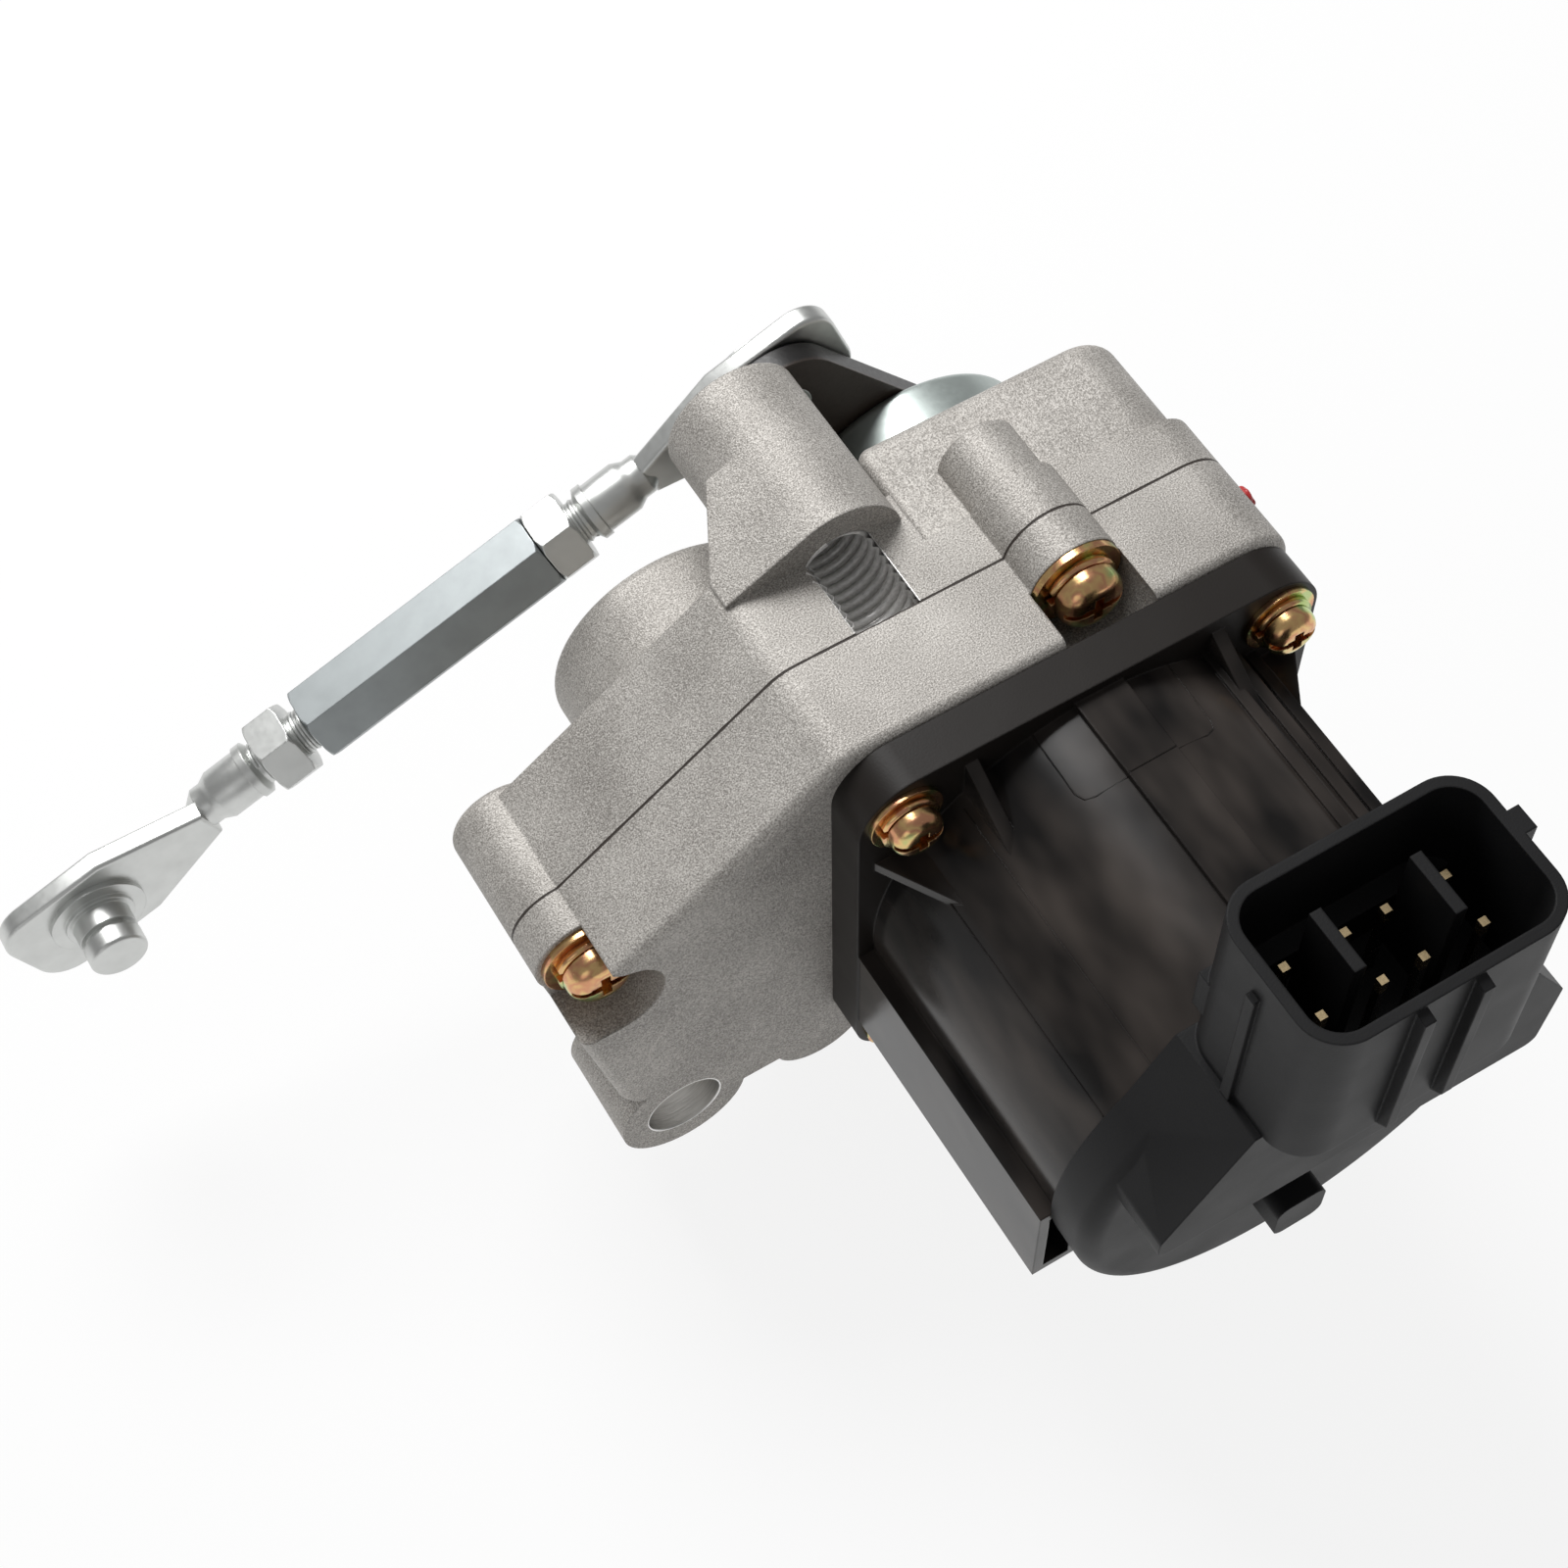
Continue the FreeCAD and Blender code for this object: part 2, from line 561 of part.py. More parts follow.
def make_gear_cover():
    """The rear casting, with the tapped boss, the dome and the output bearing neck."""
    body = new_body("gear_cover")
    slab(body, 0, D.cover_bulge, outline(
        (D.bulge_left_x, D.bulge_top_z, D.casting_edge),
        (D.bulge_right_x, D.bulge_top_z, D.bulge_radius),
        (D.bulge_right_x, D.bottom_z + 3, D.bulge_radius),
        (D.bulge_left_x, D.bottom_z + 3, D.casting_edge)))
    round_edges(body, D.bulge_edge, lambda e: lies_at(e, D.cover_bulge))
    slab(body, 0, D.cover_flange, casting_outline())
    slab(body, 0, D.cover_slab, outline(
        (D.slope_top_x, D.top_z, D.screw_boss_radius),
        (D.bulge_left_x, D.top_z),
        (D.bulge_left_x, D.bottom_z + 1),
        (D.left_x + D.screw_boss_radius, D.bottom_z + D.heel_rise, D.screw_boss_radius),
        (D.left_x, D.slope_low_z - D.slope_drop, D.screw_boss_radius)))
    slab(body, 0, D.dome_ring_rear, circle(D.idler_x, D.idler_z, D.dome_ring_radius))
    slab(body, 0, D.dome_rear, circle(D.idler_x, D.idler_z, D.dome_radius))
    round_edges(body, D.dome_edge, lambda e: lies_at(e, D.dome_rear))
    # Tapped boss, its web down to the dome and its gusset down to the slope
    slab(body, D.boss_front, D.boss_rear, circle(D.boss_x, D.boss_z, D.boss_radius))
    slab(body, 0, D.boss_root_y, box(
        D.web_left_x, D.output_x - D.cup_radius - D.stage_clear, D.idler_z, D.boss_z))
    slab(body, D.boss_front, D.boss_root_y, outline(
        (D.gusset_left_x, D.top_z),
        (D.boss_x + D.boss_radius * GUSSET_X, D.boss_z + D.boss_radius * GUSSET_Z),
        (D.boss_x, D.boss_z), (D.web_left_x, D.idler_z / 2),
        (D.gusset_left_x, D.idler_z / 2)))
    drop(body, D.idler_z / 2, D.top_z + D.boss_radius, outline(
        (D.gusset_left_x - 1, D.cover_slab), (D.gusset_left_x, D.cover_slab),
        (D.web_left_x, D.boss_root_y), (D.gusset_left_x - 1, D.boss_root_y)), cut=True)
    slab(body, 0, D.small_boss_rear, circle(D.screw_a_x, D.screw_a_z, D.small_boss_tip))
    slab(body, 0, D.cover_flange, circle(D.screw_a_x, D.screw_a_z, D.small_boss_radius))
    slab(body, 0, D.left_boss_rear, circle(D.screw_b_x, D.screw_b_z, D.screw_boss_radius))
    round_edges(body, D.casting_edge, lambda e: lies_at(e, D.left_boss_rear))
    slab(body, 0, D.low_boss_rear, circle(D.screw_c_x, D.screw_c_z, D.screw_boss_radius))
    slab(body, 0, D.low_boss_rear, circle(D.bump_x, D.bump_z, D.screw_boss_radius))
    slab(body, 0, D.neck_rear, circle(D.output_x, D.output_z, D.neck_radius))
    # Gear room and the hollow of the dome, with the post that holds the idler axle
    slab(body, 0, D.cover_cavity, outline(
        (D.cavity_left_x, D.cavity_top_z * 2.2, D.cavity_radius),
        (D.slope_top_x, D.cavity_top_z, D.cavity_radius),
        (D.web_right_x, D.cavity_top_z, D.casting_edge),
        (D.cavity_right_x, D.cavity_top_z - 4, D.cavity_radius),
        (D.cavity_right_x, D.cavity_bottom_z + 6, D.cavity_radius),
        (D.screw_d_x - 8, D.cavity_bottom_z, D.cavity_radius),
        (D.bump_x, D.cavity_bottom_z, D.cavity_radius),
        (D.cavity_left_x, D.cavity_bottom_z + 9, D.cavity_radius)), cut=True)
    dome_end = D.dome_rear - D.dome_wall
    slab(body, 0, dome_end,
         circle(D.idler_x, D.idler_z, D.dome_radius - D.dome_wall), cut=True)
    slab(body, bush_rear + D.side_clear, dome_end,
         circle(D.idler_x, D.idler_z, D.axle_post_radius))
    slab(body, 0, D.axle_rear, circle(D.idler_x, D.idler_z, D.axle_radius), cut=True)
    # Bearing seats of the output shaft, with a shoulder left between them
    slab(body, 0, D.bearing_one_y + D.bearing_width,
         circle(D.output_x, D.output_z, D.bearing_radius), cut=True)
    slab(body, 0, D.neck_rear, circle(D.output_x, D.output_z, D.bearing_radius - 2),
         cut=True)
    slab(body, D.bearing_two_y, D.neck_rear,
         circle(D.output_x, D.output_z, D.bearing_radius), cut=True)
    for x, z in SCREWS:
        slab(body, 0, m5_end + 1, circle(x, z, D.m5_radius), cut=True)
    slab(body, 0, D.boss_rear, circle(D.boss_x, D.boss_z, D.boss_thread_radius), cut=True)
    place(body)
    return node(body, "gear_cover")


def make_motor_case():
    """The black moulding round the motor, with its square flange and ribs."""
    body = new_body("motor_case")
    slab(body, flange_front, flange_y,
         rounded_box(D.motor_x, D.motor_z, flange_half, flange_half, D.flange_corner))
    slab(body, D.case_front, flange_front, circle(D.motor_x, D.motor_z, D.case_radius))
    slab(body, flange_y, flange_y + D.spigot_length,
         circle(D.motor_x, D.motor_z, D.spigot_radius))
    slab(body, D.shroud_y + D.shroud_half_y + D.side_clear, flange_front, box(
        D.strip_x - D.strip_width / 2, D.strip_x + D.strip_width / 2,
        block_top_z - D.case_wall, block_top_z + D.strip_height))
    # Gussets between the flange and the case, two beside each flange screw
    low_half = D.gusset_width / 2
    side = D.case_radius * GUSSET_SIDE
    fall = D.case_radius * math.sqrt(1 - GUSSET_SIDE ** 2) - D.case_wall / 2
    high = fall + D.gusset_height + D.case_wall / 2
    tip_y = flange_front - D.gusset_reach
    for sx in (-1, 1):
        x = D.motor_x + side * sx
        for sz in (-1, 1):
            z_low = D.motor_z + fall * sz
            rib(body, x - low_half, x + low_half, outline(
                (flange_front, z_low), (flange_front, D.motor_z + high * sz),
                (tip_y, z_low)))
            x_low = D.motor_x + fall * sx
            z = D.motor_z + side * sz
            drop(body, z - low_half, z + low_half, outline(
                (x_low, flange_front), (D.motor_x + high * sx, flange_front),
                (x_low, tip_y)))
    # Ribs along the upper right of the case
    for step in range(3):
        along = side + D.side_rib_step * (step - 0.5)
        surface = D.motor_z + square_root(D.case_radius * D.case_radius - along * along)
        slab(body, D.case_front, flange_front, box(
            D.motor_x + along, D.motor_x + along + D.side_rib_width,
            surface - D.case_wall, surface + D.strip_height / 2))
    # Wire channel along the lower left
    slab(body, D.case_front, flange_front, box(
        D.channel_left_x, D.channel_right_x + D.case_wall,
        D.channel_bottom_z, D.channel_top_z))
    slab(body, D.case_front, flange_front - D.channel_wall, box(
        D.channel_left_x + D.channel_wall, D.channel_right_x - D.channel_wall / 2,
        D.channel_bottom_z + D.channel_wall, D.channel_top_z - D.channel_wall), cut=True)
    slab(body, D.case_front, bearing_front,
         circle(D.motor_x, D.motor_z, D.case_radius - D.case_wall), cut=True)
    slab(body, bearing_front, D.motor_bearing_y + D.motor_bearing_width,
         circle(D.motor_x, D.motor_z, D.motor_bearing_radius), cut=True)
    slab(body, D.motor_bearing_y, flange_y + D.spigot_length,
         circle(D.motor_x, D.motor_z, D.motor_bearing_radius - D.inner_race), cut=True)
    # Groove for the flange seal
    slab(body, flange_y - D.seal_section * 2, flange_y,
         circle(D.motor_x, D.motor_z, D.seal_ring_radius + D.seal_section),
         circle(D.motor_x, D.motor_z, D.seal_ring_radius - D.seal_section), cut=True)
    for x, z in CASE_SCREWS:
        slab(body, flange_front, flange_y, circle(x, z, D.m4_radius + D.screw_clear),
             cut=True)
    place(body)
    return node(body, "motor_case")


def make_end_cap():
    """The front cap, moulded in one with the connector housing."""
    body = new_body("end_cap")
    slab(body, cap_front, D.case_front, circle(D.motor_x, D.motor_z, cap_radius))
    round_edges(body, D.cap_edge, lambda e: lies_at(e, cap_front))
    slab(body, D.block_front, D.case_front, outline(
        (D.block_left_x, D.block_low_z, D.casting_edge),
        (D.block_left_x, D.block_low_z + D.block_foot, D.casting_edge),
        (D.block_step_x, block_top_z),
        (D.block_right_x - D.block_shoulder_x, block_top_z),
        (D.block_right_x, block_top_z - D.block_shoulder_z, D.casting_edge),
        (D.block_right_x - D.block_lean, D.block_low_z - D.block_lean * 2, D.casting_edge)))
    drop(body, block_top_z, D.shroud_rim_z, rounded_box(
        D.shroud_x, D.shroud_y, D.shroud_half_x, D.shroud_half_y, D.shroud_corner))
    front_y = D.shroud_y - D.shroud_half_y
    for offset in (D.shroud_rib_left, D.shroud_rib_right):
        x = D.shroud_x + offset
        rib(body, x, x + D.shroud_rib_width, outline(
            (front_y + D.shroud_wall / 2, block_top_z),
            (front_y - D.shroud_rib_reach, block_top_z + D.shroud_rib_drop),
            (front_y - D.shroud_rib_reach, D.shroud_rim_z - D.shroud_rib_drop / 2),
            (front_y + D.shroud_wall / 2, D.shroud_rim_z - D.shroud_rib_drop / 4)))
    # Small ribs on the two side walls
    right_x = D.shroud_x + D.shroud_half_x
    drop(body, block_top_z, D.shroud_rim_z, box(
        right_x - D.shroud_wall / 2, right_x + D.shroud_bump,
        D.shroud_y, D.shroud_y + D.shroud_bump_length))
    left_x = D.shroud_x - D.shroud_half_x
    drop(body, block_top_z, D.shroud_rim_z - D.shroud_rib_drop * 2, box(
        left_x - D.shroud_bump / 2, left_x + D.shroud_wall / 2,
        D.shroud_y, D.shroud_y + D.key_width))
    slab(body, cap_front - D.peg_reach, D.case_front - D.cap_wall,
         rounded_box(D.peg_x, D.peg_z, D.peg_half, D.peg_half, D.peg_corner))
    # Inside of the cap, the bearing hub and the posts of the sensor board
    slab(body, cap_front + D.cap_wall, D.case_front,
         circle(D.motor_x, D.motor_z, D.case_radius - D.case_wall), cut=True)
    slab(body, cap_front + D.cap_wall, D.rear_bearing_y + D.motor_bearing_width - 1,
         circle(D.motor_x, D.motor_z, D.bearing_hub))
    slab(body, D.rear_bearing_y, D.rear_bearing_y + D.motor_bearing_width,
         circle(D.motor_x, D.motor_z, D.motor_bearing_radius), cut=True)
    for turn in (60, 180, 300):
        slab(body, cap_front + D.cap_wall, D.board_y, circle(
            D.motor_x + board_post_ring * round(math.cos(math.radians(turn - 90)), 6),
            D.motor_z - board_post_ring * round(math.sin(math.radians(turn - 90)), 6),
            D.board_post))
    # Mouth of the connector, with its two key walls, and the room for the pin feet
    drop(body, D.shroud_floor_z, D.shroud_rim_z, rounded_box(
        D.shroud_x, D.shroud_y, D.shroud_half_x - D.shroud_wall,
        D.shroud_half_y - D.shroud_wall, D.shroud_corner - D.shroud_wall), cut=True)
    rear_y = D.shroud_y + D.shroud_half_y - D.shroud_wall
    half_inside = D.shroud_half_x - D.shroud_wall / 2
    drop(body, D.shroud_floor_z - 1, D.ledge_z, box(
        D.shroud_x - half_inside, D.shroud_x + half_inside,
        rear_y - D.ledge_depth, rear_y + D.shroud_wall / 2))
    for sx in (-1, 1):
        x = D.shroud_x + D.key_x * sx
        drop(body, D.shroud_floor_z - 1, D.key_top_z, box(
            x - D.key_width / 2, x + D.key_width / 2,
            D.shroud_y + D.key_front, D.shroud_y + D.key_rear))
    slab(body, D.block_front + D.shroud_wall, D.case_front, box(
        D.shroud_x - D.foot_room_half, D.shroud_x + D.foot_room_half,
        D.foot_room_low, D.foot_room_top), cut=True)
    drop(body, D.foot_room_top, D.shroud_floor_z, *[
        box(x - D.pin_half, x + D.pin_half, y - D.pin_half, y + D.pin_half)
        for x, y, foot in PINS], cut=True)
    place(body)
    return node(body, "end_cap")


def make_connector_pins():
    """Eight square pins, each bent from the sensor board up into the connector."""
    pins = []
    for number, (x, y, foot) in enumerate(PINS, start=1):
        body = new_body("connector_pin_%d" % number)
        rib(body, x - D.pin_half, x + D.pin_half, outline(
            (y - D.pin_half, foot - D.pin_half), (D.board_y, foot - D.pin_half),
            (D.board_y, foot + D.pin_half), (y + D.pin_half, foot + D.pin_half),
            (y + D.pin_half, D.pin_tip_z), (y - D.pin_half, D.pin_tip_z)))
        place(body)
        pins.append(body)
    return group("connector_pins", pins)


def make_screws(label, places, seat, radius, head_radius, head_height, end):
    """Pan head screws with a slot and a cross in the head."""
    screws = []
    for number, (x, z) in enumerate(places, start=1):
        name = "%s_%d" % (label, number)
        body = turned_at(name, x, z, outline(
            (0, seat - head_height), (head_radius, seat - head_height, head_radius / 2),
            (head_radius, seat), (radius, seat), (radius, end), (0, end)))
        slab(body, seat - head_height, seat - head_height + D.slot_depth,
             box(-head_radius, head_radius, -D.slot_width / 2, D.slot_width / 2), cut=True)
        half, wide = head_radius * D.cross_share, D.cross_width / 2
        for arm in (box(-half, half, -wide, wide), box(-wide, wide, -half, half)):
            slab(body, seat - head_height, seat - head_height + D.cross_depth, arm, cut=True)
        screws.append(body)
    return group(label, screws)


def make_washers(label, places, seat, inner, outer, thick, split=False):
    """Flat washers, or spring washers where they are split."""
    washers = []
    for number, (x, z) in enumerate(places, start=1):
        body = turned_at("%s_%d" % (label, number), x, z,
                         box(inner, outer, seat - thick, seat))
        if split:
            slab(body, seat - thick, seat,
                 box(0, outer, -D.slot_width / 2, D.slot_width / 2), cut=True)
        washers.append(body)
    return group(label, washers)


def make_fasteners():
    m5_flat = seat_y - D.m5_washer
    m4_flat = flange_front - D.m4_washer
    make_screws("housing_screws", SCREWS, m5_flat - D.m5_spring, D.m5_radius,
                D.m5_head_radius, D.m5_head_height, m5_end)
    make_washers("housing_spring_washers", SCREWS, m5_flat, D.m5_radius + D.run_clear,
                 D.m5_spring_radius, D.m5_spring, split=True)
    make_washers("housing_flat_washers", SCREWS, seat_y, D.m5_radius + D.run_clear,
                 D.m5_washer_radius, D.m5_washer)
    make_screws("case_screws", CASE_SCREWS, m4_flat - D.m4_spring, D.m4_radius,
                D.m4_head_radius, D.m4_head_height, flange_y + D.m4_grip)
    make_washers("case_spring_washers", CASE_SCREWS, m4_flat, D.m4_radius + D.run_clear,
                 D.m4_spring_radius, D.m4_spring, split=True)
    make_washers("case_flat_washers", CASE_SCREWS, flange_front,
                 D.m4_radius + D.run_clear, D.m4_washer_radius, D.m4_washer)


def make_flange_seal():
    """The round rubber seal between the motor flange and the gear housing."""
    seal = turned_at("flange_seal", D.motor_x, D.motor_z,
                     circle(D.seal_ring_radius, flange_y - D.seal_section, D.seal_section))
    return node(seal, "flange_seal")


def make_stator():
    core = new_body("stator_core")
    slab(core, D.stator_front, D.stator_rear, circle(0, 0, stator_radius),
         circle(0, 0, stator_radius - D.yoke))
    tooth = slab(core, D.stator_front, D.stator_rear, box(
        D.stator_bore, stator_radius - D.yoke / 2, -D.tooth_width / 2, D.tooth_width / 2))
    pattern = core.newObject("PartDesign::PolarPattern", "stator_teeth")
    pattern.Originals = [tooth]
    pattern.Axis = (origin_plane(core, "Y_Axis"), [""])
    pattern.Angle = 360.0
    pattern.Occurrences = int(VALUES["slot_count"])
    core.Tip = pattern
    place(core, D.motor_x, 0, D.motor_z)
    node(core, "stator_core")
    coils = []
    half = D.tooth_width / 2
    for number in range(int(VALUES["slot_count"])):
        coil = new_body("stator_coil_%d" % (number + 1))
        rib(coil, D.stator_bore + D.coil_gap * 2, stator_radius - D.yoke - D.coil_gap,
            box(D.stator_front - D.coil_overhang, D.stator_rear + D.coil_overhang,
                -D.coil_width / 2, D.coil_width / 2),
            box(D.stator_front, D.stator_rear, -half, half))
        turn = 360.0 * number / VALUES["slot_count"]
        coil.Placement = placement(D.motor_x, 0, D.motor_z, turn)
        place(coil, D.motor_x, 0, D.motor_z)
        coils.append(coil)
    group("stator_coils", coils)


def make_races(label, places, shaft_radius, outer_radius, width):
    """Outer and inner rings of sealed ball bearings, each kind as one node."""
    split = shaft_radius + D.inner_race
    outer, inner = [], []
    for number, (x, y, z) in enumerate(places, start=1):
        outer.append(turned_at("%s_outer_%d" % (label, number), x, z,
                               box(split + D.race_gap, outer_radius, y, y + width)))
        inner.append(turned_at("%s_inner_%d" % (label, number), x, z,
                               box(shaft_radius, split, y, y + width)))
    group(label + "_outer_rings", outer)
    group(label + "_inner_rings", inner)


def make_rotor():
    """Everything that turns with the motor shaft."""
    node(turned_at("motor_shaft", D.motor_x, D.motor_z, box(
        0, D.shaft_radius, D.rear_bearing_y + D.side_clear,
        D.pinion_y + D.pinion_width)), "motor_shaft")
    node(turned_at("rotor_core", D.motor_x, D.motor_z, box(
        D.shaft_radius, D.core_radius, D.magnet_front, D.magnet_rear)), "rotor_core")
    node(turned_at("rotor_magnet", D.motor_x, D.motor_z, box(
        D.core_radius, D.magnet_radius, D.magnet_front, D.magnet_rear)), "rotor_magnet")
    make_races("motor_bearing", [(D.motor_x, D.motor_bearing_y, D.motor_z),
                                 (D.motor_x, D.rear_bearing_y, D.motor_z)],
               D.shaft_radius, D.motor_bearing_radius, D.motor_bearing_width)
    teeth = VALUES["pinion_teeth"]
    facing = to_motor + math.pi + math.pi / teeth
    y = VALUES["pinion_y"]
    width = VALUES["pinion_width"]
    shape = gear_shape(stage_module.number, teeth, VALUES["stage_shift"], y, width, facing)
    shape = shape.cut(shaft_hole(VALUES["shaft_radius"], y, y + width))
    pinion = doc.addObject("Part::Feature", "motor_pinion")
    pinion.Shape = shape
    pinion.Placement = placement(D.motor_x, 0, D.motor_z)
    node(pinion, "motor_pinion")


def make_idler():
    """The two-stage idler on its fixed axle."""
    node(turned_at("idler_axle", D.idler_x, D.idler_z, box(
        0, D.axle_radius, axle_front, D.axle_rear)), "idler_axle")
    bushes = []
    for number, y in enumerate((D.gear_y, bush_rear - D.bush_length), start=1):
        bushes.append(turned_at("idler_bush_%d" % number, D.idler_x, D.idler_z, box(
            D.axle_radius + D.run_clear, D.bush_radius, y, y + D.bush_length)))
    group("idler_bushes", bushes)
    y = VALUES["gear_y"]
    width = VALUES["gear_width"]
    recess = VALUES["gear_recess"]
    hub = idler_hub.number
    wheel = gear_shape(stage_module.number, VALUES["gear_teeth"], -VALUES["stage_shift"],
                       y, width, to_motor)
    rim = (gear_tip - 5 * stage_module).number
    web = shaft_hole(rim, y, y + recess).fuse(shaft_hole(rim, y + width - recess, y + width))
    web = web.cut(shaft_hole(hub + 2 * stage_module.number, y, y + width))
    wheel = wheel.cut(web).cut(shaft_hole(hub, y, y + width))
    gear = doc.addObject("Part::Feature", "idler_gear")
    gear.Shape = wheel
    gear.Placement = placement(D.idler_x, 0, D.idler_z)
    node(gear, "idler_gear")
    start = VALUES["idler_teeth_y"]
    end = bush_rear.number
    shape = gear_shape(output_module.number, VALUES["idler_teeth"], VALUES["output_shift"],
                       start, end - start, to_output)
    shape = shape.fuse(shaft_hole(hub, y, start))
    shape = shape.cut(shaft_hole(VALUES["bush_radius"], y, end)).removeSplitter()
    pinion = doc.addObject("Part::Feature", "idler_pinion")
    pinion.Shape = shape
    pinion.Placement = placement(D.idler_x, 0, D.idler_z)
    node(pinion, "idler_pinion")


def make_sector_gear():
    """The output sector: only the teeth that the lever's travel needs."""
    teeth = VALUES["sector_teeth"]
    y = VALUES["sector_y"]
    width = VALUES["sector_width"]
    module = output_module.number
    facing = to_output + math.pi
    pitch = 2 * math.pi / teeth
    wheel = gear_shape(module, teeth, -VALUES["output_shift"], y, width, facing + pitch / 2)
    reach = module * teeth
    steps = int(VALUES["sector_before"] + VALUES["sector_after"])
    corners = [FreeCAD.Vector(0, y, 0)]
    for step in range(steps + 1):
        angle = facing + pitch * (step - VALUES["sector_before"])
        corners.append(FreeCAD.Vector(reach * math.cos(angle), y, reach * math.sin(angle)))
    corners.append(corners[0])
    wedge = Part.Face(Part.makePolygon(corners)).extrude(FreeCAD.Vector(0, width, 0))
    hub_radius = VALUES["output_radius"] * 2.2
    shape = wheel.common(wedge).fuse(shaft_hole(hub_radius, y, y + width))
    shape = shape.cut(shaft_hole(VALUES["output_radius"], y, y + width)).removeSplitter()
    sector = doc.addObject("Part::Feature", "sector_gear")
    sector.Shape = shape
    sector.Placement = placement(D.output_x, 0, D.output_z)
    node(sector, "sector_gear")


def make_output():
    """The output shaft and what turns with it outside the box."""
    cup_floor = D.cup_rear - D.cup_wall
    nut_front = lever_rear + D.lever_washer
    node(turned_at("output_shaft", D.output_x, D.output_z, outline(
        (0, D.sector_y - D.side_clear), (D.output_radius, D.sector_y - D.side_clear),
        (D.output_radius, cup_floor), (D.output_end_radius, cup_floor),
        (D.output_end_radius, nut_front + D.nut_height + D.shaft_proud),
        (0, nut_front + D.nut_height + D.shaft_proud))), "output_shaft")
    make_races("output_bearing", [(D.output_x, D.bearing_one_y, D.output_z),
                                  (D.output_x, D.bearing_two_y, D.output_z)],
               D.output_radius, D.bearing_radius, D.bearing_width)
    node(turned_at("shaft_seal", D.output_x, D.output_z, box(
        D.output_radius + D.run_clear, D.bearing_radius,
        D.neck_rear - D.seal_width, D.neck_rear)), "shaft_seal")
    inner = D.cup_radius - D.cup_wall
    node(turned_at("shaft_cup", D.output_x, D.output_z, outline(
        (D.output_end_radius, cup_floor), (inner, cup_floor), (inner, D.cup_front),
        (D.cup_radius, D.cup_front), (D.cup_radius, D.cup_rear, D.cup_edge),
        (D.output_end_radius, D.cup_rear))), "shaft_cup")
    node(turned_at("lever_washer", D.output_x, D.output_z, box(
        D.output_end_radius, D.lever_washer_radius, lever_rear, nut_front)),
        "lever_washer")
    nut = new_body("lever_nut")
    slab(nut, nut_front, nut_front + D.nut_height, hexagon(D.nut_half),
         circle(0, 0, D.output_end_radius))
    place(nut, D.output_x, 0, D.output_z)
    node(nut, "lever_nut")


def make_lever():
    """The flat lever: a hub and a tip joined by the lines that touch both."""
    lever = new_body("actuator_lever")
    length = distance(D.output_x, D.output_z, D.lever_tip_x, D.lever_tip_z)
    lean = (D.lever_hub_radius - D.lever_tip_radius) / length
    rise = square_root(1 - lean * lean)
    slab(lever, D.cup_rear, lever_rear, circle(0, 0, D.lever_hub_radius))
    slab(lever, D.cup_rear, lever_rear, circle(length, 0, D.lever_tip_radius))
    slab(lever, D.cup_rear, lever_rear, outline(
        (D.lever_hub_radius * lean, -D.lever_hub_radius * rise),
        (length + D.lever_tip_radius * lean, -D.lever_tip_radius * rise),
        (length + D.lever_tip_radius * lean, D.lever_tip_radius * rise),
        (D.lever_hub_radius * lean, D.lever_hub_radius * rise)))
    slab(lever, D.cup_rear, lever_rear, circle(0, 0, D.output_end_radius), cut=True)
    slab(lever, D.cup_rear, lever_rear, circle(length, 0, D.link_pin_radius), cut=True)
    direction = math.degrees(angle_between(VALUES["output_x"], VALUES["output_z"],
                                           VALUES["lever_tip_x"], VALUES["lever_tip_z"]))
    lever.Placement = placement(D.output_x, 0, D.output_z, -direction)
    place(lever, D.output_x, 0, D.output_z)
    node(lever, "actuator_lever")
    clip_y = paddle_rear + D.clip_clear
    pin_rear = clip_y + D.clip_thick + D.pin_end
    node(turned_at("lever_pin", D.lever_tip_x, D.lever_tip_z, outline(
        (0, D.cup_rear), (D.link_pin_radius, D.cup_rear), (D.link_pin_radius, lever_rear),
        (D.pin_shoulder, lever_rear), (D.pin_shoulder, lever_rear + D.pin_shoulder_height),
        (D.link_pin_radius, lever_rear + D.pin_shoulder_height),
        (D.link_pin_radius, clip_y), (D.clip_groove, clip_y),
        (D.clip_groove, clip_y + D.clip_thick), (D.link_pin_radius, clip_y + D.clip_thick),
        (D.link_pin_radius, pin_rear), (0, pin_rear))), "lever_pin")
    clip = turned_at("pin_clip", D.lever_tip_x, D.lever_tip_z, box(
        D.clip_groove, D.clip_radius, clip_y, clip_y + D.clip_thick))
    slab(clip, clip_y, clip_y + D.clip_thick,
         box(0, D.clip_radius, -D.clip_mouth, D.clip_mouth), cut=True)
    node(clip, "pin_clip")


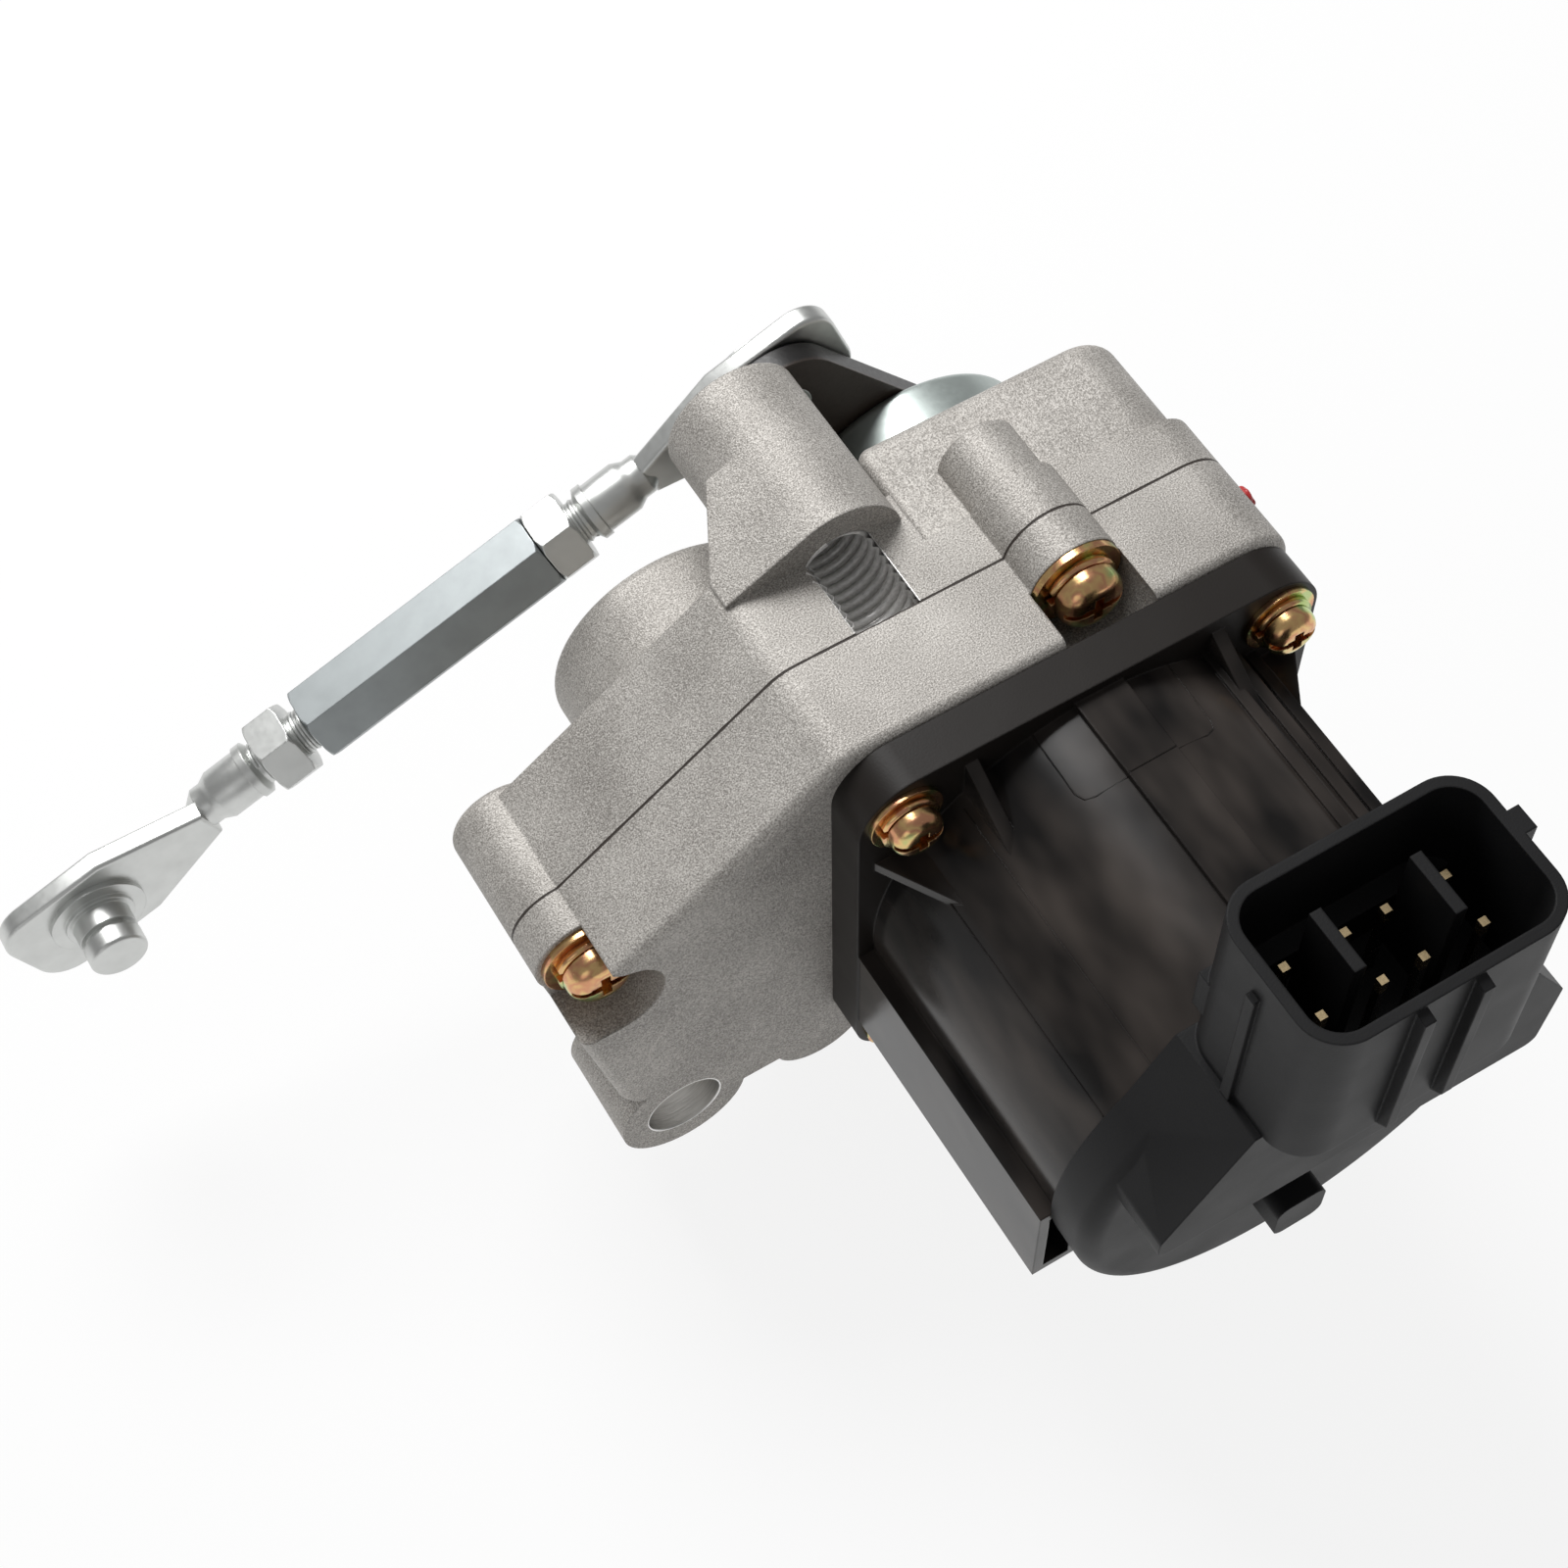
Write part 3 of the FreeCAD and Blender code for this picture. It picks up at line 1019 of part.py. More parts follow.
def make_rod_end(label, bore, plate, stud_end, x, z, direction):
    """A flattened rod end: the eye, the round shank and the threaded stud."""
    body = new_body(label)
    rear = plate + D.paddle_thick
    slab(body, plate, rear, outline(
        (-D.paddle_reach, -D.paddle_half, D.paddle_corner), (D.paddle_taper, -D.paddle_half),
        (D.paddle_end, -D.neck_half), (D.paddle_end, D.neck_half),
        (D.paddle_taper, D.paddle_half), (-D.paddle_reach, D.paddle_half, D.paddle_corner)))
    round_edges(body, D.hex_chamfer, lambda e: lies_at(e, plate) or lies_at(e, rear))
    ring = D.shank_radius + D.shank_ring
    spun(body, "Revolution", "H_Axis", outline(
        (D.paddle_end - D.shank_radius, 0), (D.paddle_end - D.shank_radius / 2, D.neck_half / 2),
        (D.paddle_end, D.neck_half), (D.paddle_end + D.neck_half / 2, D.neck_half),
        (D.paddle_end + D.neck_half, D.shank_radius),
        (D.shank_end - D.hex_chamfer * 3, D.shank_radius),
        (D.shank_end - D.hex_chamfer * 3, ring), (D.shank_end - D.hex_chamfer, ring),
        (D.shank_end, D.stud_radius), (stud_end, D.stud_radius), (stud_end, 0)))
    slab(body, plate, rear, circle(0, 0, bore), cut=True)
    body.Placement = placement(x, rod_y, z, -direction)
    place(body, x, rod_y, z)
    return node(body, label)


def make_hex(label, start, length, bore, x, z, direction):
    """A hexagon across the rod, with turned corners at both ends."""
    body = new_body(label)
    rib(body, start, start + length, hexagon(D.hex_half), circle(0, 0, bore))
    corner = D.hex_half * (2 / math.sqrt(3)) + D.side_clear
    flat = D.hex_half + D.side_clear
    for end, inward in ((start, 1), (start + length, -1)):
        spun(body, "Groove", "H_Axis", outline(
            (end, flat), (end, corner), (end + D.hex_chamfer * inward, corner)))
    body.Placement = placement(x, rod_y, z, -direction)
    place(body, x, rod_y, z)
    return node(body, label)


def make_link():
    """The adjustable rod: two rod ends, two jam nuts and the long hexagon."""
    angle = math.radians(VALUES["rod_angle"])
    far_x = D.lever_tip_x - D.rod_length * round(math.cos(angle), 9)
    far_z = D.lever_tip_z - D.rod_length * round(math.sin(angle), 9)
    down = 180.0 + VALUES["rod_angle"]
    back = VALUES["rod_angle"]
    stud_in = D.hex_start + D.hex_thread
    make_rod_end("upper_rod_end", D.link_pin_radius + D.pin_clear, -D.rod_lift, stud_in,
                 D.lever_tip_x, D.lever_tip_z, down)
    make_hex("upper_jam_nut", D.jam_start, D.jam_height, D.stud_radius,
             D.lever_tip_x, D.lever_tip_z, down)
    make_hex("turnbuckle", D.hex_start, hex_length, D.hex_bore,
             D.lever_tip_x, D.lever_tip_z, down)
    make_rod_end("lower_rod_end", D.far_shank, -D.far_lift, D.far_reach + D.hex_thread,
                 far_x, far_z, back)
    make_hex("lower_jam_nut", D.far_reach - D.far_jam_gap - D.jam_height, D.jam_height,
             D.stud_radius, far_x, far_z, back)
    shoulder_y = far_front - D.far_shoulder_height
    collar_y = shoulder_y - D.far_collar_height
    groove_end = D.far_groove_y + D.far_groove
    node(turned_at("lower_pin", far_x, far_z, outline(
        (0, D.far_pin_front), (D.link_pin_radius, D.far_pin_front, D.hex_chamfer),
        (D.link_pin_radius, D.far_groove_y), (D.clip_groove, D.far_groove_y),
        (D.clip_groove, groove_end), (D.link_pin_radius, groove_end),
        (D.link_pin_radius, collar_y), (D.far_collar, collar_y), (D.far_collar, shoulder_y),
        (D.far_shoulder, shoulder_y), (D.far_shoulder, far_front),
        (D.far_shank, far_front), (D.far_shank, far_rear), (D.stake_radius, far_rear),
        (D.stake_radius, far_rear + D.stake_height, D.hex_chamfer),
        (0, far_rear + D.stake_height))), "lower_pin")


def make_sensor_board():
    board = new_body("sensor_board")
    slab(board, D.board_y, D.board_y + D.board_thick, circle(0, 0, board_radius),
         circle(0, 0, D.board_bore))
    place(board, D.motor_x, 0, D.motor_z)
    node(board, "sensor_board")


# Places that follow from the pieces above
m5_end = seat_y - D.m5_washer - D.m5_spring + D.m5_length
bearing_front = D.motor_bearing_y - D.m4_washer * 2
axle_front = flange_y + D.spigot_length / 2
bush_rear = D.sector_y + D.sector_width + D.side_clear * 2
idler_hub = D.bush_radius + 2
GUSSET_X = math.cos(math.radians(117.5))
GUSSET_Z = math.sin(math.radians(117.5))
GUSSET_SIDE = 0.571
PINS = [(D.shroud_x + offset, D.shroud_y + D.pin_row * row,
         D.pin_foot_z if row > 0 else D.pin_foot_z - D.pin_foot_step)
        for row in (1, -1)
        for offset in (-D.pin_outer, -D.pin_inner, D.pin_inner, D.pin_outer)]

make_gear_housing()
make_gear_cover()
make_motor_case()
make_end_cap()
make_connector_pins()
make_fasteners()
make_flange_seal()
make_stator()
make_sensor_board()
make_rotor()
make_idler()
make_sector_gear()
make_output()
make_lever()
make_link()
doc.recompute()

for obj in doc.Objects:
    if "Invalid" in obj.State or "Error" in obj.State:
        raise RuntimeError("%s could not be built" % obj.Label)
os.makedirs("parts", exist_ok=True)
for obj in NODES:
    if obj.Shape.isNull() or not obj.Shape.isValid() or not obj.Shape.Solids:
        raise RuntimeError("%s has no sound shape" % obj.Label)
for obj in NODES:
    obj.Shape.exportStep("parts/%s.step" % obj.Label)
    print(obj.Label, len(obj.Shape.Solids), round(obj.Shape.Volume, 1))
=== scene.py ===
"""Looks of a turbocharger actuator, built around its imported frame."""

import json
import math

import bmesh
import bpy
from mathutils import Matrix, Vector, noise


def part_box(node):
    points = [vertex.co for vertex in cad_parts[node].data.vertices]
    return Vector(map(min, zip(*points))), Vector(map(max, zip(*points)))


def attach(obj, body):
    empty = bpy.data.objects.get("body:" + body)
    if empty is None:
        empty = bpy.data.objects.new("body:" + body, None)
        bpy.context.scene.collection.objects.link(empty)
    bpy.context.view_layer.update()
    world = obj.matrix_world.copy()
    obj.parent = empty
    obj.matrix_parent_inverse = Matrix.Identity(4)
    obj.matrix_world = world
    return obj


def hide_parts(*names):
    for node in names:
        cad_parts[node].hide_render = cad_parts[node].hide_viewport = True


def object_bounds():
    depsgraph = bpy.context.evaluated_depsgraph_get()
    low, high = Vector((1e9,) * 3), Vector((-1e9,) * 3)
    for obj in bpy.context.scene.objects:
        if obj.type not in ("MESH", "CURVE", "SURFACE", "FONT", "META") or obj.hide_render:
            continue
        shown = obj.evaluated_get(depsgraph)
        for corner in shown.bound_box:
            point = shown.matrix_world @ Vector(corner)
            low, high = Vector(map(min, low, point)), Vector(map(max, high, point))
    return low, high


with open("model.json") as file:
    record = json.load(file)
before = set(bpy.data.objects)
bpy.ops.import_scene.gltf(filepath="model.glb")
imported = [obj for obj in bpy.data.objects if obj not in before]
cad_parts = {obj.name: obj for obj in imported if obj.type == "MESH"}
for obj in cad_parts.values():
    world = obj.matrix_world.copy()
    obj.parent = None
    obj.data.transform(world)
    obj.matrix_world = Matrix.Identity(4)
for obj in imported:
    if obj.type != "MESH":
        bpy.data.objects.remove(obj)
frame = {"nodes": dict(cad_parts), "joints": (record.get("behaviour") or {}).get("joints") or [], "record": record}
CAD_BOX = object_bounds()

bl_info = {
    "name": "Turbo Actuator Looks",
    "version": (1, 0, 0),
    "blender": (4, 5, 0),
    "location": "3D View > Sidebar > Actuator",
    "description": "Finishes, threads and stage for a turbocharger actuator",
    "category": "Object",
}

MM = 0.001
MOUNTS = {mount["name"]: mount for mount in frame["record"]["mounts"]}
JOINTS = {joint["name"]: joint for joint in frame["joints"]}
BOSS = MOUNTS["tapped_boss"]
LUG = MOUNTS["lug_bore"]
BOSS_RADIUS = BOSS["dims"]["r_mm"] * MM
BOSS_LENGTH = BOSS["dims"]["length_mm"] * MM
LUG_RADIUS = LUG["dims"]["r_mm"] * MM
CASTING_JOINT = -BOSS_LENGTH
CASTING_TOP = 2.2 * MM
FLANGE_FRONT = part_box("case_flat_washers")[1].y
CONTACT_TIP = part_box("connector_pins")[1].z

# The round motor case: X and Z of its middle, its radius, and the top of its flat strip
CASE_CENTRE = (16.3 * MM, -31.6 * MM)
CASE_RADIUS = 31.0 * MM
STRIP_TOP = 0.2 * MM

# Screw centres as X and Z in millimetres
HOUSING_SCREWS = ((22.8, 1.0), (-47.6, -27.2), (0.4, -65.1), (24.4, -63.6))
CASE_SCREWS = ((-10.7, -58.6), (43.3, -58.6), (-10.7, -4.6), (43.3, -4.6))

# Raised mould lines on the top of the case and on its strip, as X and Y in millimetres
MOULD_LINES = (
    ((7.2, -58.3), (7.0, -67.6), (7.5, -68.9), (8.8, -69.4), (13.1, -69.5)),
    ((26.8, -58.3), (26.6, -67.4), (26.1, -68.7), (24.8, -69.2), (20.1, -69.3)),
    ((-9.4, -58.3), (-9.4, -99.5)),
    ((-3.3, -60.0), (-3.3, -99.5)),
)
STRIP_LINE = ((13.2, -69.45), (20.0, -69.35))

CASTINGS = ("gear_housing", "gear_cover")
SCREWS = ("housing_screws", "housing_spring_washers", "housing_flat_washers",
          "case_screws", "case_spring_washers", "case_flat_washers")
ROD = ("upper_rod_end", "upper_jam_nut", "turnbuckle", "lower_rod_end", "lower_jam_nut",
       "lower_pin", "lever_pin", "pin_clip", "lever_washer", "lever_nut", "output_shaft")
GEARS = ("motor_shaft", "motor_pinion", "idler_gear", "idler_pinion", "idler_axle",
         "sector_gear")
RINGS = ("motor_bearing_outer_rings", "motor_bearing_inner_rings",
         "output_bearing_outer_rings", "output_bearing_inner_rings")

# Where a finish changes: cut metal to 1.03 bore radii, no sealant within 1.75 of the lug's,
# plating on the ends of the contacts, and greener zinc on the screw heads at the right
BORE_EDGE = 1.03
LUG_FACE = 1.75
CONTACT_PLATED = 2.2 * MM
RIGHT_HEADS = (44 * MM, 60 * MM)
GREEN_SHIFT = 0.16

# Threads: how deep the ridges' feet lie in the wall, how far below the casting's top the
# groove opens, and how far the studs' threads reach past the nuts and into the hexagon
THREAD_SUNK = 0.02 * MM
GROOVE_BELOW_TOP = 0.1 * MM
STUD_BEFORE_NUT = 1.6 * MM
STUD_PAST_NUT = 1.2 * MM
STUD_IN_HEXAGON = 5 * MM
NEVER_OPEN = 1.0

# The drop of paint: its tilt, the height of its lumps and how close together they are
PAINT_TILT = math.radians(-16)
LUMP_HEIGHT = 0.25
LUMP_FREQUENCY = 1.6

# Lamps and floor, in metres
KEY_PLACE, KEY_SIZE = (-0.02, 0.46, 0.62), 0.5
FILL_PLACE, FILL_SIZE = (-0.55, -0.45, 0.30), 0.4
FLOOR_HALF = 3.0
FLOOR_GLOW = 0.86

# Camera: side of the picture and focal length in pixels, pixels for a metre at the aim,
# the pixel where the aim lies, and the aim itself in millimetres
PICTURE = 1600.0
FOCAL = 2950.0
PIXELS_PER_METRE = 8500.0
AIM_PIXEL = (866.0, 655.0)
AIM = (-5.6, -37.4, 1.4)
SENSOR_WIDTH = 36.0
CLIP_START = 0.01


def real(label, text, default, unit="NONE", subtype="NONE"):
    return bpy.props.FloatProperty(name=label, description=text, default=default,
                                   unit=unit, subtype=subtype, precision=5)


def length(label, text, default):
    return real(label, text, default, unit="LENGTH")


def angle(label, text, degrees):
    return real(label, text, math.radians(degrees), unit="ROTATION", subtype="ANGLE")


def colour(label, text, default):
    return bpy.props.FloatVectorProperty(name=label, description=text, default=default,
                                         subtype="COLOR", size=3, min=0.0, max=1.0)


class CastingFinish(bpy.types.PropertyGroup):
    """Shot-blasted aluminium of the two castings."""

    dark: colour("Hollows", "Dark grains of the blasted skin", (0.22, 0.206, 0.188))
    middle: colour("Skin", "Usual colour of the blasted skin", (0.385, 0.364, 0.338))
    light: colour("Grains", "Bright grains of the blasted skin", (0.60, 0.575, 0.54))
    machined: colour("Machined", "Cut metal in the bores", (0.88, 0.87, 0.85))
    stained: colour("Stained", "Dark streaks of the cut metal", (0.66, 0.65, 0.63))
    sealant: colour("Sealant", "Line squeezed out between the castings", (0.035, 0.026, 0.02))
    paint: colour("Paint", "Assembly mark on the right side", (0.55, 0.03, 0.03))
    paint_place: bpy.props.FloatVectorProperty(
        name="Paint place", description="Middle of the paint mark",
        default=(49.65 * MM, -42.6 * MM, -2.9 * MM), unit="LENGTH", size=3, precision=5)
    paint_size: length("Paint size", "Half width of the paint mark", 1.5 * MM)
    paint_height: length("Paint height", "Height of the paint mark", 0.75 * MM)
    grain: length("Grain size", "Size of a blasted grain", 0.22 * MM)
    line: length("Sealant width", "Width of the sealant line", 0.38 * MM)
    edge: length("Edge rounding", "Soft edge of the castings", 0.45 * MM)


class PlasticFinish(bpy.types.PropertyGroup):
    """Black mouldings of the motor."""

    case: colour("Case", "Glossy case", (0.0085, 0.0077, 0.0075))
    # This colour is a painted highlight: warm reflections laid as long streaks along the case.
    highlight_streak: colour("Streak", "Warm flow streaks in the case", (0.072, 0.060, 0.053))
    flange: colour("Flange", "Satin flange of the case", (0.015, 0.0125, 0.011))
    cap: colour("Cap", "Satin cap and connector", (0.0095, 0.0095, 0.0100))
    gloss: real("Gloss", "Share of light that a moulding throws back", 0.17)
    edge: length("Edge rounding", "Soft edge of the mouldings", 0.35 * MM)


class MetalFinish(bpy.types.PropertyGroup):
    """Plated and bare metals."""

    gold: colour("Gold zinc", "Yellow passivated zinc", (0.74, 0.50, 0.22))
    copper: colour("Copper zinc", "Reddish patches of the zinc", (0.62, 0.30, 0.17))
    green: colour("Green zinc", "Greenish patches of the zinc", (0.45, 0.55, 0.22))
    bright: colour("Bright zinc", "Clear passivated zinc", (0.64, 0.65, 0.635))
    hexagon: colour("Hexagon", "Zinc on the long hexagon", (0.36, 0.385, 0.39))
    cup: colour("Cup", "Zinc on the pressed cup", (0.52, 0.575, 0.555))
    lever: colour("Lever", "Black coating of the lever", (0.012, 0.011, 0.011))
    # Brown mixed into the lever's front face and into its edges up to about 0.9 mm behind that face.
    edge_brown: colour("Worn edge", "Brown tone on the lever's edges", (0.06, 0.042, 0.032))
    pin: colour("Contact", "Plated tips of the contacts", (0.80, 0.62, 0.36))
    shank: colour("Contact shank", "Dull tin below the tips", (0.20, 0.185, 0.165))


class ThreadSizes(bpy.types.PropertyGroup):
    """Threads that are cut in the visible holes and studs."""

    boss_pitch: length("Boss pitch", "Pitch of the thread in the boss", 1.5 * MM)
    boss_depth: length("Boss depth", "Height of a thread ridge in the boss", 0.62 * MM)
    groove: length("Open groove", "Part of the thread that is open on top", 11.6 * MM)
    stud_pitch: length("Stud pitch", "Pitch of the thread on the studs", 1.0 * MM)
    stud_radius: length("Stud radius", "Radius of the studs at mid height", 2.86 * MM)
    stud_depth: length("Stud depth", "Height of a thread ridge on the studs", 0.3 * MM)


class DetailSizes(bpy.types.PropertyGroup):
    """Split spring washers and raised mould lines."""

    big_radius: length("Big ring", "Mean radius of the spring washers on the castings",
                       3.75 * MM)
    big_width: length("Big width", "Width of those washers' section", 2.2 * MM)
    small_radius: length("Small ring", "Mean radius of the spring washers on the case",
                         3.05 * MM)
    small_width: length("Small width", "Width of those washers' section", 1.9 * MM)
    turn: real("Turn", "Part of a turn that a spring washer makes", 0.955)
    rise: real("Rise", "Rise of a spring washer as a share of its height", 0.22)
    gap_at: angle("Gap place", "Where the split faces, round the screw", 160)
    line: length("Mould line", "Half width of a raised mould line", 0.13 * MM)


class StageSizes(bpy.types.PropertyGroup):
    """Floor, lamps and camera."""

    floor: colour("Floor", "Plain floor", (0.86, 0.86, 0.86))
    drop: length("Floor drop", "Floor below the lowest point", 12 * MM)
    key: real("Key lamp", "Power of the lamp above and behind", 7.0, unit="POWER")
    fill: real("Fill lamp", "Power of the lamp at the front left", 0.25, unit="POWER")
    sky: real("Sky", "Strength of the light from all sides", 0.31)
    heading: angle("Camera heading", "Camera angle round the part", -29.2)
    height: angle("Camera height", "Camera angle above the floor", 59.5)
    roll: angle("Camera roll", "Tilt of the frame", -2.0)


class Wire:
    """An output socket of a shader: arithmetic on it adds Math nodes."""

    def __init__(self, shader, socket):
        self.shader = shader
        self.socket = socket

    def math(self, operation, *others):
        return self.shader.sum(operation, self, *others)

    def __add__(self, other):
        return self.math("ADD", other)

    def __sub__(self, other):
        return self.math("SUBTRACT", other)

    def __rsub__(self, other):
        return self.shader.sum("SUBTRACT", other, self)

    def __mul__(self, other):
        return self.math("MULTIPLY", other)

    def __lt__(self, other):
        return self.math("LESS_THAN", other)

    def __gt__(self, other):
        return self.math("GREATER_THAN", other)

    def __abs__(self):
        return self.math("ABSOLUTE")


class Shader:
    """Builds the nodes of one material."""

    def __init__(self, name):
        self.material = bpy.data.materials.new(name)
        self.material.use_nodes = True
        self.tree = self.material.node_tree
        self.tree.nodes.clear()
        self.place = self.node("ShaderNodeTexCoord", output="Object")

    def node(self, kind, settings=None, inputs=None, output=0):
        """Adds a node: its settings first, then its sockets' values or wires."""
        made = self.tree.nodes.new(kind)
        for name, value in (settings or {}).items():
            if name == "stops":
                self.set_stops(made.color_ramp, value)
            else:
                setattr(made, name, value)
        for key, value in (inputs or {}).items():
            if isinstance(value, Wire):
                self.tree.links.new(value.socket, made.inputs[key])
            else:
                made.inputs[key].default_value = value
        return Wire(self, made.outputs[output])

    def set_stops(self, ramp, stops):
        while len(ramp.elements) < len(stops):
            ramp.elements.new(1.0)
        for element, (position, tone) in zip(ramp.elements, stops):
            element.position = position
            element.color = (*tone, 1.0)

    def sum(self, operation, *values):
        return self.node("ShaderNodeMath", {"operation": operation}, dict(enumerate(values)))

    def axis(self, name):
        return self.node("ShaderNodeSeparateXYZ", None, {0: self.place}, name)

    def noise(self, size, detail=2.0, stretch=(1.0, 1.0, 1.0)):
        """Noise whose spots are about size metres wide, longer where stretch is small."""
        place = self.node("ShaderNodeMapping", None, {"Vector": self.place, "Scale": stretch})
        return self.node("ShaderNodeTexNoise", None,
                         {"Vector": place, "Scale": 1.0 / size, "Detail": detail})

    def ramp(self, factor, *stops):
        return self.node("ShaderNodeValToRGB", {"stops": stops}, {0: factor})

    def blend(self, factor, first, second):
        """Mixes two colours, each a wire or three numbers."""
        sides = [tone if isinstance(tone, Wire) else (*tone, 1.0) for tone in (first, second)]
        return self.node("ShaderNodeMix", {"data_type": "RGBA"},
                         {0: factor, 6: sides[0], 7: sides[1]}, 2)

    def level(self, factor, low, high):
        """Takes a factor from 0 to 1 to a value from low to high."""
        return factor * (high - low) + low

    def band(self, value, low, high):
        """Goes from 0 to 1 as value goes from low to high."""
        return self.node("ShaderNodeMapRange", None,
                         {"Value": value, "From Min": low, "From Max": high})

    def from_axis(self, x, z):
        """Distance from a line along Y."""
        along_x = self.axis("X") - x
        along_z = self.axis("Z") - z
        return (along_x * along_x + along_z * along_z).math("SQRT")

    def soft_edge(self, radius):
        return self.node("ShaderNodeBevel", {"samples": 4}, {"Radius": radius})

    def bump(self, height, strength, distance, normal=None):
        inputs = {"Height": height, "Strength": strength, "Distance": distance}
        if normal is not None:
            inputs["Normal"] = normal
        return self.node("ShaderNodeBump", None, inputs)

    def finish(self, **sockets):
        """Ends the material in one Principled shader."""
        names = {name.replace("_", " ").title().replace("Ior", "IOR"): value
                 for name, value in sockets.items()}
        self.node_out(self.node("ShaderNodeBsdfPrincipled", None, names))
        return self.material

    def node_out(self, surface):
        out = self.tree.nodes.new("ShaderNodeOutputMaterial")
        self.tree.links.new(surface.socket, out.inputs["Surface"])


def toned(tint, share):
    """A colour made darker or lighter by a share."""
    return tuple(share * part for part in tint)


def cast_alloy(sizes):
    """Blasted aluminium with bright bores and the sealant line."""
    shader = Shader("blasted_aluminium")
    grain = shader.noise(sizes.grain, 3.0)
    patch = shader.noise(11 * MM, 2.0)
    tone = grain * 0.8 + patch * 0.2
    skin = shader.ramp(tone, (0.36, sizes.dark), (0.5, sizes.middle), (0.64, sizes.light))
    boss = shader.from_axis(BOSS["pos_m"][0], BOSS["pos_m"][2]) < BOSS_RADIUS * BORE_EDGE
    boss = boss * (shader.axis("Y") > CASTING_JOINT + 0.05 * MM)
    from_lug = shader.from_axis(LUG["pos_m"][0], LUG["pos_m"][2])
    cut = boss.math("MAXIMUM", from_lug < LUG_RADIUS * BORE_EDGE)
    marks = shader.noise(0.5 * MM, 2.0, (0.15, 3.0, 0.15))
    metal = shader.blend(shader.band(marks, 0.4, 0.8), sizes.machined, sizes.stained)
    side = abs(shader.axis("Y") - CASTING_JOINT)
    seam = (side + (shader.noise(2.0 * MM) - 0.5) * (sizes.line * 0.5)) < sizes.line / 2
    seam = seam * (from_lug > LUG_RADIUS * LUG_FACE)
    tint = shader.blend(cut, skin, metal)
    tint = shader.blend(seam, tint, sizes.sealant)
    relief = grain * (1 - cut) + marks * cut * 0.4
    return shader.finish(
        base_color=tint,
        metallic=(1 - seam) * shader.level(cut, 0.35, 0.95),
        roughness=shader.level(cut, 0.52, 0.3) + patch * 0.06,
        normal=shader.bump(relief, 0.55, 0.16 * MM, shader.soft_edge(sizes.edge)))


def red_paint(sizes):
    """Glossy paint of the assembly mark."""
    shader = Shader("red_paint")
    skin = shader.noise(0.7 * MM, 2.0)
    return shader.finish(
        base_color=shader.blend(skin, sizes.paint, toned(sizes.paint, 0.6)),
        roughness=shader.level(skin, 0.3, 0.5), normal=shader.bump(skin, 0.2, 0.1 * MM))


def cut_alloy(sizes):
    """Bright ridges of a thread that is cut in the casting."""
    shader = Shader("cut_aluminium")
    marks = shader.noise(0.6 * MM, 3.0, (1.0, 2.5, 1.0))
    shade = shader.blend(shader.band(marks, 0.42, 0.72), sizes.machined, sizes.stained)
    return shader.finish(base_color=shade, metallic=0.25,
                         roughness=shader.level(marks, 0.25, 0.45),
                         normal=shader.bump(marks, 0.1, 0.05 * MM))


def case_plastic(sizes):
    """Glossy case with warm streaks of painted highlight, and its satin flange."""
    shader = Shader("glossy_case")
    flow_and_highlight = shader.noise(8.0 * MM, 2.0, (1.0, 0.4, 1.0))
    wave = shader.noise(9.0 * MM, 1.0)
    satin = shader.axis("Y") > FLANGE_FRONT - 0.02 * MM
    # Painted highlight: warm streaks blended into the case colour by noise stretched along the case.
    case = shader.blend(shader.band(flow_and_highlight, 0.38, 0.85), sizes.case, sizes.highlight_streak)
    specks = shader.noise(0.25 * MM, 2.0)
    return shader.finish(
        base_color=shader.blend(satin, case, sizes.flange), specular_ior_level=sizes.gloss,
        roughness=shader.level(satin, 0.2, 0.42) + (flow_and_highlight - 0.5) * 0.14,
        normal=shader.bump(wave * 0.7 + specks * satin * 0.12 + flow_and_highlight * 0.12, 0.25, 0.35 * MM,
                           shader.soft_edge(sizes.edge)))


def cap_plastic(sizes):
    """Satin cap and connector with a fine eroded skin."""
    shader = Shader("satin_cap")
    skin = shader.noise(0.22 * MM, 3.0)
    cloud = shader.noise(7.0 * MM, 2.0)
    shade = shader.blend(cloud * 0.6, sizes.cap, toned(sizes.cap, 1.7))
    return shader.finish(
        base_color=shade, specular_ior_level=sizes.gloss,
        roughness=shader.level(cloud, 0.42, 0.56),
        normal=shader.bump(skin, 0.3, 0.06 * MM, shader.soft_edge(sizes.edge)))


def yellow_zinc(sizes):
    """Yellow passivation that turns copper and green from place to place, with a painted sheen that shifts its
    colour where the surface turns away from the view.
    """
    shader = Shader("yellow_zinc")
    film = shader.noise(3.2 * MM, 2.0)
    # Painted sheen: the facing pushes the colour towards the green end of the ramp where the surface turns away
    # from the camera.
    painted_sheen_facing = shader.node("ShaderNodeLayerWeight", None, {"Blend": 0.35}, "Facing")
    phase = film * 0.8 + painted_sheen_facing * 0.3
    right = shader.band(shader.axis("X"), *RIGHT_HEADS)
    phase = phase + right * GREEN_SHIFT
    tint = shader.ramp(phase, (0.3, sizes.copper), (0.40, sizes.gold), (0.48, sizes.copper),
                       (0.56, sizes.gold), (0.66, sizes.green))
    fine = shader.noise(0.4 * MM, 2.0)
    return shader.finish(
        base_color=tint, metallic=1.0, roughness=shader.level(fine, 0.14, 0.32),
        normal=shader.bump(fine, 0.12, 0.05 * MM, shader.soft_edge(0.2 * MM)))


